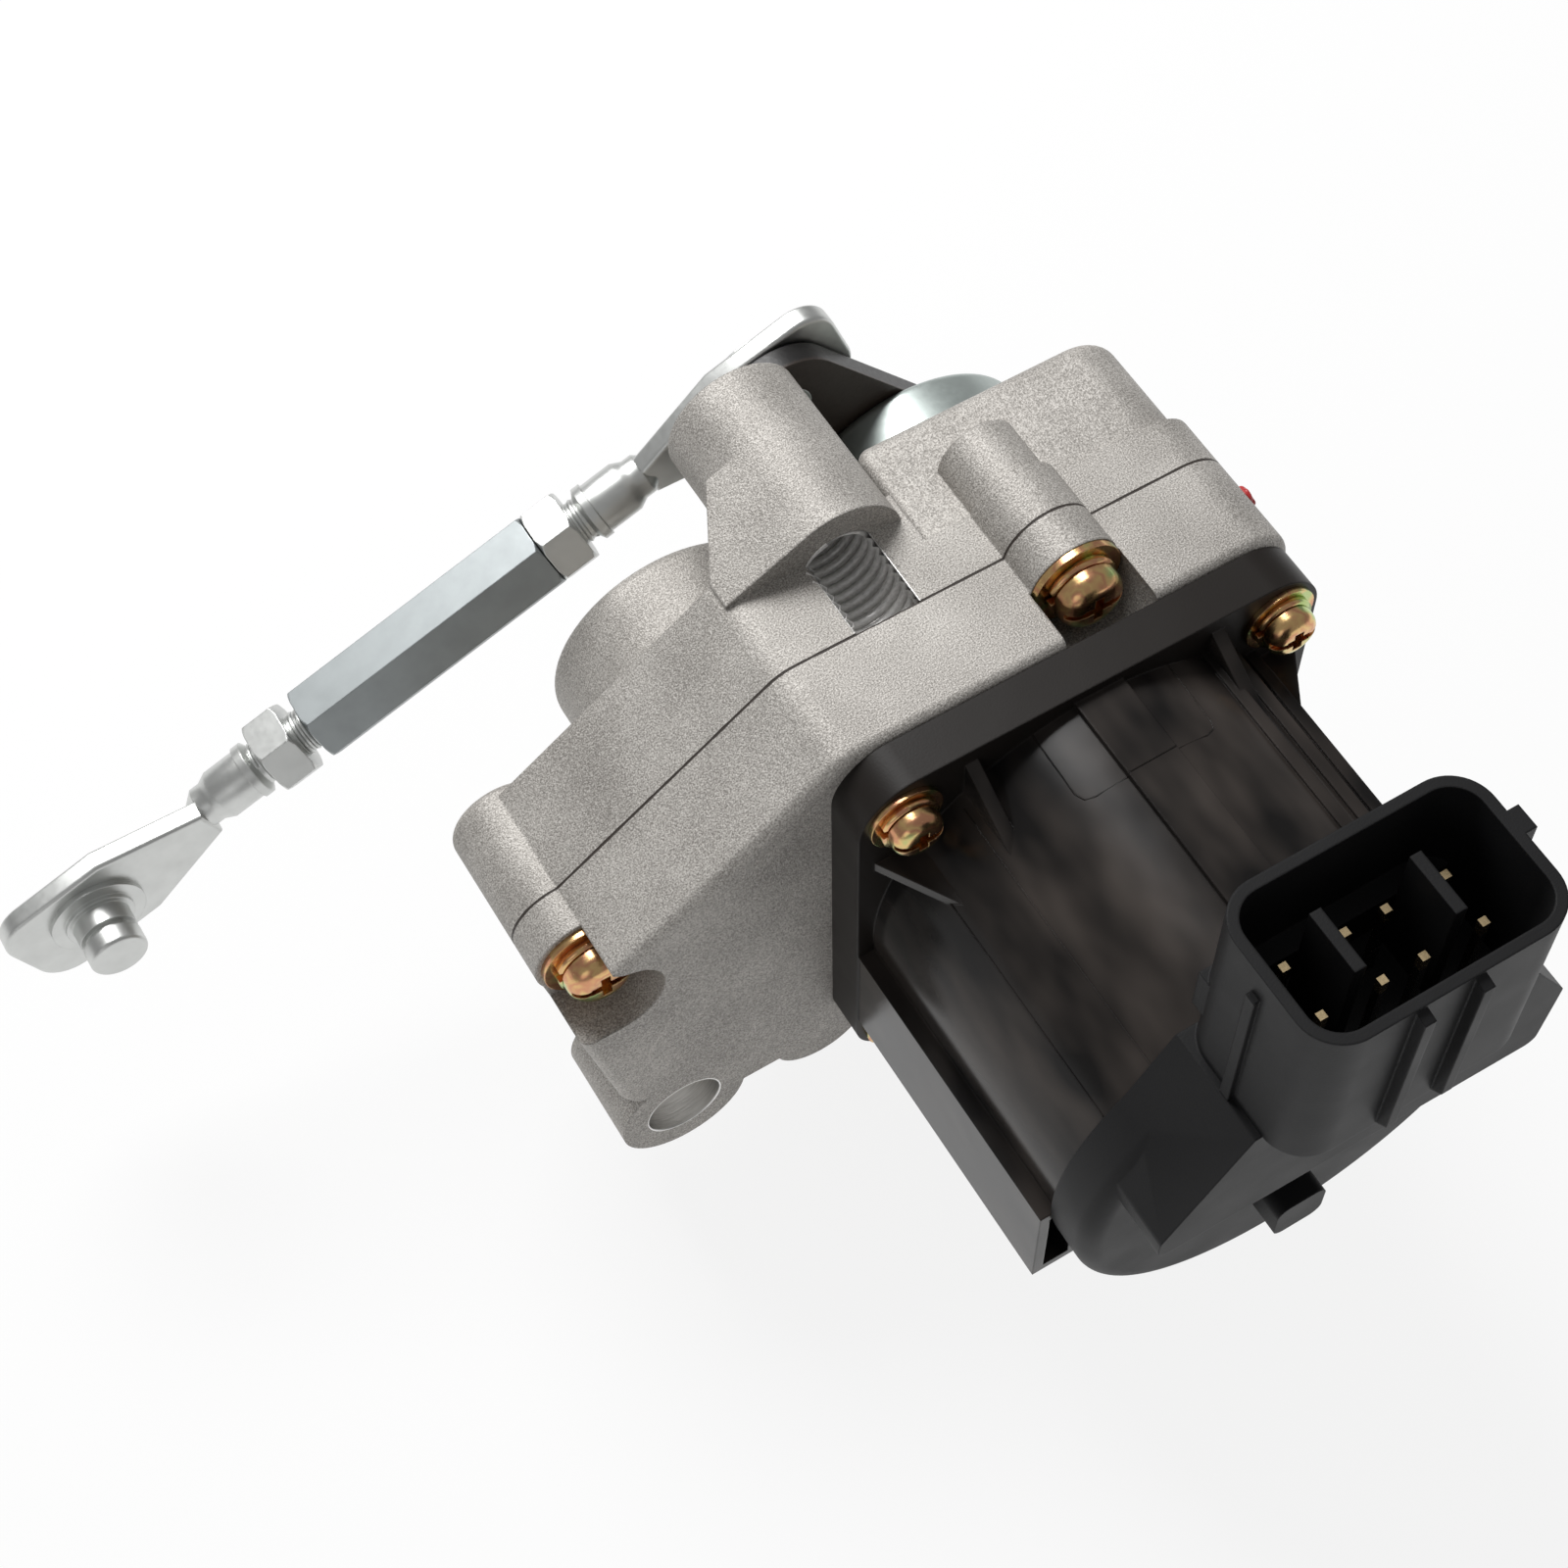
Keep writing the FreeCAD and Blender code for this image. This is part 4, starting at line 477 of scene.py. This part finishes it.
def zinc(name, tint, rough):
    """Clear zinc with a faint grain and a few darker clouds."""
    shader = Shader(name)
    fine = shader.noise(0.8 * MM, 2.0)
    cloud = shader.noise(4.5 * MM, 2.0)
    shade = shader.blend(shader.band(cloud, 0.4, 0.8), tint, toned(tint, 0.88))
    return shader.finish(
        base_color=shade, metallic=1.0,
        roughness=shader.level(fine, rough - 0.05, rough + 0.08),
        normal=shader.bump(fine * 0.3 + cloud * 0.4, 0.06, 0.08 * MM,
                           shader.soft_edge(0.25 * MM)))


def lever_coat(sizes):
    """Black coating with brown edges on the pressed lever."""
    shader = Shader("lever_coating")
    fine = shader.noise(0.5 * MM, 3.0)
    # Brown on the front face, fading out along the edges between 0.3 and 0.9 mm behind it.
    edge_of = abs(shader.axis("Y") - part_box("actuator_lever")[0].y)
    rim = shader.band(edge_of + fine * 0.5 * MM, 0.9 * MM, 0.3 * MM)
    return shader.finish(
        base_color=shader.blend(rim * 0.6, sizes.lever, sizes.edge_brown), metallic=0.2,
        roughness=shader.level(fine, 0.3, 0.5),
        normal=shader.bump(fine, 0.25, 0.08 * MM, shader.soft_edge(0.3 * MM)))


def contact_plate(sizes):
    """Plated tips of the contacts on dull shanks."""
    shader = Shader("contact_plating")
    fine = shader.noise(0.3 * MM, 2.0)
    tip = shader.axis("Z") > CONTACT_TIP - CONTACT_PLATED
    return shader.finish(base_color=shader.blend(tip, sizes.shank, sizes.pin), metallic=1.0,
                         roughness=shader.level(fine, 0.18, 0.34))


def hidden_metal(name, tint, rough, size=0.6 * MM, grain=(1.0, 1.0, 1.0)):
    """Bare metal inside the housing."""
    shader = Shader(name)
    fine = shader.noise(size, 2.0, grain)
    shade = shader.blend(fine, tint, toned(tint, 0.75))
    return shader.finish(base_color=shade, metallic=0.9,
                         roughness=shader.level(fine, rough, rough + 0.15))


def hidden_plain(name, tint, rough):
    """Rubber, lacquer or ferrite inside the housing."""
    shader = Shader(name)
    fine = shader.noise(0.8 * MM, 2.0)
    shade = shader.blend(fine, tint, toned(tint, 1.4))
    return shader.finish(base_color=shade, roughness=shader.level(fine, rough, rough + 0.12),
                         normal=shader.bump(fine, 0.15, 0.05 * MM))


# Nodes, kind of finish, its name, tint and roughness, then the size and stretch of its grain
HIDDEN_FINISHES = (
    (GEARS, hidden_metal, "gear_steel", (0.46, 0.45, 0.43), 0.28),
    (RINGS, hidden_metal, "ring_steel", (0.68, 0.68, 0.68), 0.12),
    (("stator_core", "rotor_core"), hidden_metal, "core_steel", (0.36, 0.36, 0.37), 0.4,
     0.5 * MM, (0.1, 4.0, 0.1)),
    (("stator_coils",), hidden_metal, "winding_copper", (0.62, 0.3, 0.13), 0.3,
     0.45 * MM, (2.0, 0.1, 2.0)),
    (("idler_bushes",), hidden_metal, "bush_bronze", (0.55, 0.38, 0.2), 0.4),
    (("rotor_magnet",), hidden_plain, "magnet_skin", (0.1, 0.1, 0.105), 0.35),
    (("sensor_board",), hidden_plain, "board_lacquer", (0.02, 0.12, 0.045), 0.3),
    (("flange_seal", "shaft_seal"), hidden_plain, "seal_rubber", (0.02, 0.02, 0.02), 0.6),
)


def node_adder(tree):
    """A function that adds a node with its settings and its inputs' values or wires."""
    def add(kind, settings=None, **inputs):
        made = tree.nodes.new(kind)
        for name, value in (settings or {}).items():
            setattr(made, name, value)
        for name, value in inputs.items():
            key = int(name[1:]) if name[1:].isdigit() else name.replace("_", " ")
            if isinstance(value, bpy.types.NodeSocket):
                tree.links.new(value, made.inputs[key])
            else:
                made.inputs[key].default_value = value
        return made
    return add


def new_tree(name, *inputs):
    """A tree with geometry in and out, its node adder, and the wires of its inputs."""
    tree = bpy.data.node_groups.new(name, "GeometryNodeTree")
    for label, kind in (("Geometry", "Geometry"), *inputs):
        tree.interface.new_socket(label, in_out="INPUT", socket_type="NodeSocket" + kind)
    tree.interface.new_socket("Geometry", in_out="OUTPUT", socket_type="NodeSocketGeometry")
    return tree, node_adder(tree), tree.nodes.new("NodeGroupInput").outputs


def smoothing_tree():
    """Joins the loose triangles of a CAD node and shades its round faces smoothly."""
    tree, add, given = new_tree("smooth_round_faces", ("Weld distance", "Float"),
                                ("Crease angle", "Float"))
    sockets = {item.name: item for item in tree.interface.items_tree}
    sockets["Weld distance"].default_value = 0.002 * MM
    sockets["Crease angle"].default_value = math.radians(28)
    joined = add("GeometryNodeMergeByDistance", Geometry=given["Geometry"],
                 Distance=given["Weld distance"])
    rounded = add("GeometryNodeSetShadeSmooth", Geometry=joined.outputs["Geometry"])
    bend = add("GeometryNodeInputMeshEdgeAngle")
    over = add("FunctionNodeCompare", {"operation": "GREATER_THAN"},
               i0=bend.outputs["Unsigned Angle"], i1=given["Crease angle"])
    sharp = add("GeometryNodeSetShadeSmooth", {"domain": "EDGE"},
                Geometry=rounded.outputs["Geometry"], Selection=over.outputs["Result"],
                Shade_Smooth=False)
    add("NodeGroupOutput", Geometry=sharp.outputs["Geometry"])
    return tree


def smooth(obj):
    """Joins and smooths the mesh of a CAD node by a modifier."""
    tree = bpy.data.node_groups.get("smooth_round_faces") or smoothing_tree()
    obj.modifiers.new("smooth_round_faces", "NODES").node_group = tree


def dress(names, material):
    """Gives CAD nodes a finish and smooth shading."""
    for name in names:
        obj = frame["nodes"][name]
        obj.data.materials.clear()
        obj.data.materials.append(material)
        smooth(obj)


def finish_of(name):
    """The finish that a CAD node wears, by its node, since slots have materials of their own."""
    return frame["nodes"][name].data.materials[0]


def swept_spiral(add, radius, resolution, turns, height, profile):
    """A profile swept along a spiral that climbs along Z."""
    spiral = add("GeometryNodeCurveSpiral", Resolution=resolution, Rotations=turns,
                 Start_Radius=radius, End_Radius=radius, Height=height)
    upright = add("GeometryNodeSetCurveNormal", {"mode": "Z_UP"},
                  Curve=spiral.outputs["Curve"])
    return add("GeometryNodeCurveToMesh", Curve=upright.outputs["Curve"],
               Profile_Curve=profile.outputs["Curve"], Fill_Caps=True)


def end_tree(add, geometry, material):
    """Ends a tree in real geometry that wears its material."""
    whole = add("GeometryNodeRealizeInstances", Geometry=geometry)
    painted = add("GeometryNodeSetMaterial", Geometry=whole.outputs["Geometry"],
                  Material=material)
    add("NodeGroupOutput", Geometry=painted.outputs["Geometry"])


def thread_tree():
    """A helix of ridges along -Y, cut away where it would stand clear of the wall."""
    tree, add, given = new_tree(
        "thread_ridges", ("Radius", "Float"), ("Length", "Float"), ("Turns", "Float"),
        ("Ridge height", "Float"), ("Ridge half width", "Float"), ("Open length", "Float"),
        ("Open above", "Float"), ("Material", "Material"))
    wide = add("ShaderNodeMath", {"operation": "MULTIPLY"}, i0=given["Ridge height"], i1=2.0)
    ridge = add("GeometryNodeCurvePrimitiveQuadrilateral", {"mode": "KITE"},
                Width=wide.outputs[0], Bottom_Height=given["Ridge half width"],
                Top_Height=given["Ridge half width"])
    swept = swept_spiral(add, given["Radius"], 48, given["Turns"], given["Length"], ridge)
    turned = add("GeometryNodeTransform", Geometry=swept.outputs["Mesh"],
                 Rotation=(math.radians(90), 0.0, 0.0))
    position = add("GeometryNodeInputPosition")
    parts = add("ShaderNodeSeparateXYZ", i0=position.outputs[0])
    start = add("ShaderNodeMath", {"operation": "SUBTRACT"}, i0=given["Open length"],
                i1=given["Length"])
    front = add("FunctionNodeCompare", {"operation": "LESS_THAN"}, i0=parts.outputs["Y"],
                i1=start.outputs[0])
    high = add("FunctionNodeCompare", {"operation": "GREATER_THAN"}, i0=parts.outputs["Z"],
               i1=given["Open above"])
    both = add("FunctionNodeBooleanMath", {"operation": "AND"}, i0=front.outputs[0],
               i1=high.outputs[0])
    kept = add("GeometryNodeDeleteGeometry", {"domain": "FACE"},
               Geometry=turned.outputs["Geometry"], Selection=both.outputs[0])
    end_tree(add, kept.outputs["Geometry"], given["Material"])
    return tree


def spring_tree():
    """One split spring washer, set on each point of a mesh."""
    tree, add, given = new_tree(
        "split_spring_washers", ("Radius", "Float"), ("Width", "Float"), ("Height", "Float"),
        ("Turn", "Float"), ("Rise", "Float"), ("Gap at", "Float"), ("Material", "Material"))
    climb = add("ShaderNodeMath", {"operation": "MULTIPLY"}, i0=given["Height"],
                i1=given["Rise"])
    thick = add("ShaderNodeMath", {"operation": "SUBTRACT"}, i0=given["Height"],
                i1=climb.outputs[0])
    foot = add("ShaderNodeMath", {"operation": "DIVIDE"}, i0=thick.outputs[0], i1=2.0)
    section = add("GeometryNodeCurvePrimitiveQuadrilateral", {"mode": "RECTANGLE"},
                  Width=given["Width"], Height=thick.outputs[0])
    swept = swept_spiral(add, given["Radius"], 64, given["Turn"], climb.outputs[0], section)
    spin = add("ShaderNodeCombineXYZ", Z=given["Gap at"])
    raised = add("ShaderNodeCombineXYZ", Z=foot.outputs[0])
    turned = add("GeometryNodeTransform", Geometry=swept.outputs["Mesh"],
                 Translation=raised.outputs[0], Rotation=spin.outputs[0])
    laid = add("GeometryNodeTransform", Geometry=turned.outputs["Geometry"],
               Rotation=(math.radians(90), 0.0, 0.0))
    points = add("GeometryNodeMeshToPoints", Mesh=given["Geometry"])
    copies = add("GeometryNodeInstanceOnPoints", Points=points.outputs["Points"],
                 Instance=laid.outputs["Geometry"])
    end_tree(add, copies.outputs["Instances"], given["Material"])
    return tree


def run_tree(name, tree, values, points, body, matrix=None):
    """Runs a node tree once and keeps its result as a plain mesh on a body."""
    start = bpy.data.meshes.new(name + "_start")
    start.from_pydata(points, [], [])
    carrier = bpy.data.objects.new(name + "_carrier", start)
    bpy.context.scene.collection.objects.link(carrier)
    modifier = carrier.modifiers.new(tree.name, "NODES")
    modifier.node_group = tree
    for item in tree.interface.items_tree:
        if item.in_out == "INPUT" and item.name in values:
            modifier[item.identifier] = values[item.name]
    bpy.context.view_layer.update()
    graph = bpy.context.evaluated_depsgraph_get()
    mesh = bpy.data.meshes.new_from_object(carrier.evaluated_get(graph))
    bpy.data.objects.remove(carrier)
    mesh.transform(matrix or Matrix())
    return add_piece(name, mesh, body)


def add_piece(name, mesh, body):
    """Puts a mesh into the scene as a piece that rides on a body."""
    mesh.name = name
    piece = bpy.data.objects.new(name, mesh)
    bpy.context.scene.collection.objects.link(piece)
    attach(piece, body)
    return piece


def raised_line(points, half):
    """Corners and faces of a thin square ridge through points, half of it sunk."""
    corners, faces = [], []
    for number, point in enumerate(points):
        before, after = points[max(number - 1, 0)], points[min(number + 1, len(points) - 1)]
        along = (after - before).normalized()
        across = along.cross(Vector((0.0, 0.0, 1.0))).normalized() * half
        up = across.normalized().cross(along) * half
        corners += [point + across, point + up, point - across, point - up]
        if number:
            first = 4 * (number - 1)
            faces += [(first + side, first + 4 + side, first + 4 + (side + 1) % 4,
                       first + (side + 1) % 4) for side in range(4)]
    last = len(corners)
    faces += [(0, 1, 2, 3), (last - 1, last - 2, last - 3, last - 4)]
    return corners, faces


def on_case(x, y):
    """The point of the round case above a place given in millimetres."""
    side = x * MM - CASE_CENTRE[0]
    return Vector((x * MM, y * MM, CASE_CENTRE[1] + math.sqrt(CASE_RADIUS ** 2 - side ** 2)))


def cut_thread(name, radius, run, pitch, depth, open_length, open_above, material, matrix,
               body):
    """A thread as a plain mesh on a body."""
    tree = bpy.data.node_groups.get("thread_ridges") or thread_tree()
    values = {"Radius": radius, "Length": run, "Turns": run / pitch, "Ridge height": depth,
              "Ridge half width": pitch / 2, "Open length": open_length,
              "Open above": open_above, "Material": material}
    return run_tree(name, tree, values, [], body, matrix)


def node_span(name, centre, along):
    """Where a CAD node starts and ends along a line."""
    reach = [(vertex.co - centre).dot(along) for vertex in frame["nodes"][name].data.vertices]
    return min(reach), max(reach)


class ACTUATOR_OT_castings(bpy.types.Operator):
    """Give the two castings their blasted skin"""

    bl_idname = "actuator.castings"
    bl_label = "Castings"

    def execute(self, context):
        dress(CASTINGS, cast_alloy(context.scene.actuator_casting))
        return {"FINISHED"}


class ACTUATOR_OT_mouldings(bpy.types.Operator):
    """Give the motor case, cap and connector their black finishes"""

    bl_idname = "actuator.mouldings"
    bl_label = "Mouldings"

    def execute(self, context):
        sizes = context.scene.actuator_plastic
        dress(("motor_case",), case_plastic(sizes))
        dress(("end_cap",), cap_plastic(sizes))
        return {"FINISHED"}


class ACTUATOR_OT_screws(bpy.types.Operator):
    """Give the screws and their washers yellow zinc"""

    bl_idname = "actuator.screws"
    bl_label = "Screws"

    def execute(self, context):
        dress(SCREWS, yellow_zinc(context.scene.actuator_metal))
        return {"FINISHED"}


class ACTUATOR_OT_link(bpy.types.Operator):
    """Give the link rod, the lever and the cup their finishes"""

    bl_idname = "actuator.link"
    bl_label = "Link and lever"

    def execute(self, context):
        sizes = context.scene.actuator_metal
        dress(ROD, zinc("bright_zinc", tuple(sizes.bright), 0.36))
        dress(("turnbuckle",), zinc("hexagon_zinc", tuple(sizes.hexagon), 0.46))
        dress(("shaft_cup",), zinc("cup_zinc", tuple(sizes.cup), 0.42))
        dress(("actuator_lever",), lever_coat(sizes))
        dress(("connector_pins",), contact_plate(sizes))
        return {"FINISHED"}


class ACTUATOR_OT_inside(bpy.types.Operator):
    """Give the hidden motor and gears their finishes"""

    bl_idname = "actuator.inside"
    bl_label = "Inside"

    def execute(self, context):
        for names, finish, *look in HIDDEN_FINISHES:
            dress(names, finish(*look))
        return {"FINISHED"}


class ACTUATOR_OT_boss_thread(bpy.types.Operator):
    """Cut the thread of the tapped boss and its open groove"""

    bl_idname = "actuator.boss_thread"
    bl_label = "Boss thread"

    def execute(self, context):
        sizes = context.scene.actuator_thread
        margin = sizes.boss_pitch / 4
        run = BOSS_LENGTH - margin * 2
        place = Matrix.Translation(Vector(BOSS["pos_m"]) - Vector((0, margin, 0)))
        cut_thread("boss_thread", BOSS_RADIUS + THREAD_SUNK, run, sizes.boss_pitch,
                   sizes.boss_depth, sizes.groove - margin, CASTING_TOP - GROOVE_BELOW_TOP,
                   cut_alloy(context.scene.actuator_casting), place, "gearbox")
        return {"FINISHED"}


class ACTUATOR_OT_stud_threads(bpy.types.Operator):
    """Cut the threads on the bare parts of the two studs"""

    bl_idname = "actuator.stud_threads"
    bl_label = "Stud threads"

    def execute(self, context):
        sizes = context.scene.actuator_thread
        material = finish_of("upper_rod_end")
        along = Vector(JOINTS["turnbuckle_turn"]["axis"]).normalized()
        centre = Vector(JOINTS["turnbuckle_turn"]["pos_m"])
        turn = Vector((0, -1, 0)).rotation_difference(along).to_matrix().to_4x4()
        upper_nut, hexagon, lower_nut = (
            node_span(name, centre, along)
            for name in ("upper_jam_nut", "turnbuckle", "lower_jam_nut"))
        spans = (("upper_stud_thread", upper_nut[0] - STUD_BEFORE_NUT, hexagon[0],
                  "upper_link"),
                 ("lower_stud_thread", hexagon[1] - STUD_IN_HEXAGON,
                  lower_nut[1] + STUD_PAST_NUT, "lower_link"))
        for name, start, end, body in spans:
            place = Matrix.Translation(centre + along * start) @ turn
            cut_thread(name, sizes.stud_radius, end - start, sizes.stud_pitch,
                       sizes.stud_depth, 0.0, NEVER_OPEN, material, place, body)
        return {"FINISHED"}


class ACTUATOR_OT_spring_washers(bpy.types.Operator):
    """Put split spring washers under the screw heads"""

    bl_idname = "actuator.spring_washers"
    bl_label = "Spring washers"

    def execute(self, context):
        sizes = context.scene.actuator_detail
        material = finish_of("housing_screws")
        tree = spring_tree()
        sets = (("housing_spring_washers", HOUSING_SCREWS, sizes.big_radius, sizes.big_width),
                ("case_spring_washers", CASE_SCREWS, sizes.small_radius, sizes.small_width))
        for node, centres, radius, width in sets:
            low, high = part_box(node)
            points = [(x * MM, high.y, z * MM) for x, z in centres]
            values = {"Radius": radius, "Width": width, "Height": high.y - low.y,
                      "Turn": sizes.turn, "Rise": sizes.rise, "Gap at": sizes.gap_at,
                      "Material": material}
            piece = run_tree(node + "_split", tree, values, points, "gearbox")
            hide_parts(node)
        return {"FINISHED"}


class ACTUATOR_OT_paint_mark(bpy.types.Operator):
    """Put the drop of red paint on the right side"""

    bl_idname = "actuator.paint_mark"
    bl_label = "Paint mark"

    def execute(self, context):
        sizes = context.scene.actuator_casting
        drop = bmesh.new()
        bmesh.ops.create_icosphere(drop, subdivisions=4, radius=1.0)
        flat = Vector((sizes.paint_height, sizes.paint_size, sizes.paint_size))
        for corner in drop.verts:
            corner.co = corner.co * (1 + LUMP_HEIGHT * noise.noise(corner.co * LUMP_FREQUENCY))
            corner.co *= flat
        mesh = bpy.data.meshes.new("paint_mark")
        drop.to_mesh(mesh)
        drop.free()
        mesh.shade_smooth()
        mesh.transform(Matrix.Translation(sizes.paint_place)
                       @ Matrix.Rotation(PAINT_TILT, 4, "Y"))
        mesh.materials.append(red_paint(sizes))
        add_piece("paint_mark", mesh, "gearbox")
        return {"FINISHED"}


class ACTUATOR_OT_mould_lines(bpy.types.Operator):
    """Raise the mould lines on the motor case"""

    bl_idname = "actuator.mould_lines"
    bl_label = "Mould lines"

    def execute(self, context):
        half = context.scene.actuator_detail.line
        paths = [[on_case(x, y) for x, y in line] for line in MOULD_LINES]
        paths.append([Vector((x * MM, y * MM, STRIP_TOP)) for x, y in STRIP_LINE])
        corners, faces = [], []
        for path in paths:
            new_corners, new_faces = raised_line(path, half)
            faces += [tuple(corner + len(corners) for corner in one) for one in new_faces]
            corners += new_corners
        mesh = bpy.data.meshes.new("mould_lines")
        mesh.from_pydata(corners, [], faces)
        mesh.materials.append(finish_of("motor_case"))
        add_piece("mould_lines", mesh, "gearbox")
        return {"FINISHED"}


class ACTUATOR_OT_stage(bpy.types.Operator):
    """Set the floor, the lamps and the camera"""

    bl_idname = "actuator.stage"
    bl_label = "Stage"

    def execute(self, context):
        sizes = context.scene.actuator_stage
        add_floor(sizes)
        add_sky(sizes)
        add_lamp("key_lamp", KEY_PLACE, KEY_SIZE, sizes.key)
        add_lamp("fill_lamp", FILL_PLACE, FILL_SIZE, sizes.fill)
        add_camera(sizes)
        return {"FINISHED"}


def add_floor(sizes):
    """A floor that is matte for the light and pale where it is seen."""
    shader = Shader("pale_floor")
    path = {name: shader.node("ShaderNodeLightPath", output=name)
            for name in ("Is Camera Ray", "Is Glossy Ray", "Is Transmission Ray")}
    seen = path["Is Camera Ray"].math("MAXIMUM", path["Is Glossy Ray"])
    seen = seen.math("MAXIMUM", path["Is Transmission Ray"])
    matte = shader.node("ShaderNodeBsdfDiffuse", None, {"Color": (*sizes.floor, 1.0)})
    glow = shader.node("ShaderNodeEmission", None, {"Color": (1.0, 1.0, 1.0, 1.0)})
    shader.node_out(shader.node("ShaderNodeMixShader", None,
                                {0: seen * FLOOR_GLOW, 1: matte, 2: glow}))
    half = FLOOR_HALF
    level = CAD_BOX[0].z - sizes.drop
    mesh = bpy.data.meshes.new("floor")
    mesh.from_pydata([(-half, -half, level), (half, -half, level), (half, half, level),
                      (-half, half, level)], [], [(0, 1, 2, 3)])
    mesh.materials.append(shader.material)
    floor = bpy.data.objects.new("floor", mesh)
    bpy.context.scene.collection.objects.link(floor)


def add_sky(sizes):
    """White light from all sides, brighter where the camera sees it directly."""
    world = bpy.data.worlds.new("sky")
    bpy.context.scene.world = world
    world.use_nodes = True
    nodes, links = world.node_tree.nodes, world.node_tree.links
    back = nodes["Background"]
    back.inputs["Color"].default_value = (1.0, 1.0, 1.0, 1.0)
    path = nodes.new("ShaderNodeLightPath")
    seen = nodes.new("ShaderNodeMath")
    seen.operation = "MAXIMUM"
    links.new(path.outputs["Is Camera Ray"], seen.inputs[0])
    links.new(path.outputs["Is Transmission Ray"], seen.inputs[1])
    strength = nodes.new("ShaderNodeMapRange")
    strength.inputs["To Min"].default_value = sizes.sky
    strength.inputs["To Max"].default_value = 1.0
    links.new(seen.outputs[0], strength.inputs["Value"])
    links.new(strength.outputs["Result"], back.inputs["Strength"])


def add_lamp(name, place, size, power):
    data = bpy.data.lights.new(name, "AREA")
    data.shape = "DISK"
    data.size = size
    data.energy = power
    lamp = bpy.data.objects.new(name, data)
    bpy.context.scene.collection.objects.link(lamp)
    lamp.location = place
    lamp.rotation_euler = (Vector(place) * -1).to_track_quat("-Z", "Y").to_euler()


def add_camera(sizes):
    """A camera that holds one known point of the part at its place in the picture."""
    right = Vector((math.cos(sizes.heading), math.sin(sizes.heading), 0.0))
    back = Vector((math.sin(sizes.heading) * math.cos(sizes.height),
                   -math.cos(sizes.heading) * math.cos(sizes.height), math.sin(sizes.height)))
    up = back.cross(right)
    cosine, sine = math.cos(sizes.roll), math.sin(sizes.roll)
    right, up = right * cosine + up * sine, up * cosine - right * sine
    across = (AIM_PIXEL[0] - PICTURE / 2) / FOCAL
    above = (PICTURE / 2 - AIM_PIXEL[1]) / FOCAL
    distance = FOCAL / PIXELS_PER_METRE
    place = Vector(AIM) * MM - (right * across + up * above - back) * distance
    data = bpy.data.cameras.new("camera")
    data.sensor_width = SENSOR_WIDTH
    data.lens = SENSOR_WIDTH * FOCAL / PICTURE
    data.clip_start = CLIP_START
    camera = bpy.data.objects.new("camera", data)
    bpy.context.scene.collection.objects.link(camera)
    turned = Matrix((right, up, back)).transposed().to_4x4()
    camera.matrix_world = Matrix.Translation(place) @ turned
    bpy.context.scene.camera = camera


class ACTUATOR_PT_panel(bpy.types.Panel):
    """Lists the steps that dress the actuator"""

    bl_idname = "ACTUATOR_PT_panel"
    bl_label = "Turbo Actuator"
    bl_space_type = "VIEW_3D"
    bl_region_type = "UI"
    bl_category = "Actuator"

    def draw(self, context):
        for step in STEPS:
            self.layout.operator(step.bl_idname)
        for name, group in GROUPS:
            for key in group.__annotations__:
                self.layout.prop(getattr(context.scene, name), key)


GROUPS = (("actuator_casting", CastingFinish), ("actuator_plastic", PlasticFinish),
          ("actuator_metal", MetalFinish), ("actuator_thread", ThreadSizes),
          ("actuator_detail", DetailSizes), ("actuator_stage", StageSizes))
STEPS = (ACTUATOR_OT_castings, ACTUATOR_OT_mouldings, ACTUATOR_OT_screws, ACTUATOR_OT_link,
         ACTUATOR_OT_inside, ACTUATOR_OT_boss_thread, ACTUATOR_OT_stud_threads,
         ACTUATOR_OT_spring_washers, ACTUATOR_OT_mould_lines, ACTUATOR_OT_paint_mark,
         ACTUATOR_OT_stage)


def register():
    for name, group in GROUPS:
        bpy.utils.register_class(group)
        setattr(bpy.types.Scene, name, bpy.props.PointerProperty(type=group))
    for step in STEPS:
        bpy.utils.register_class(step)
    bpy.utils.register_class(ACTUATOR_PT_panel)


def unregister():
    bpy.utils.unregister_class(ACTUATOR_PT_panel)
    for step in reversed(STEPS):
        bpy.utils.unregister_class(step)
    for name, group in reversed(GROUPS):
        delattr(bpy.types.Scene, name)
        bpy.utils.unregister_class(group)


def main():
    register()
    for step in STEPS:
        group, action = step.bl_idname.split(".")
        getattr(getattr(bpy.ops, group), action)()
    bpy.context.scene.view_settings.view_transform = "Standard"


if __name__ == "__main__":
    main()
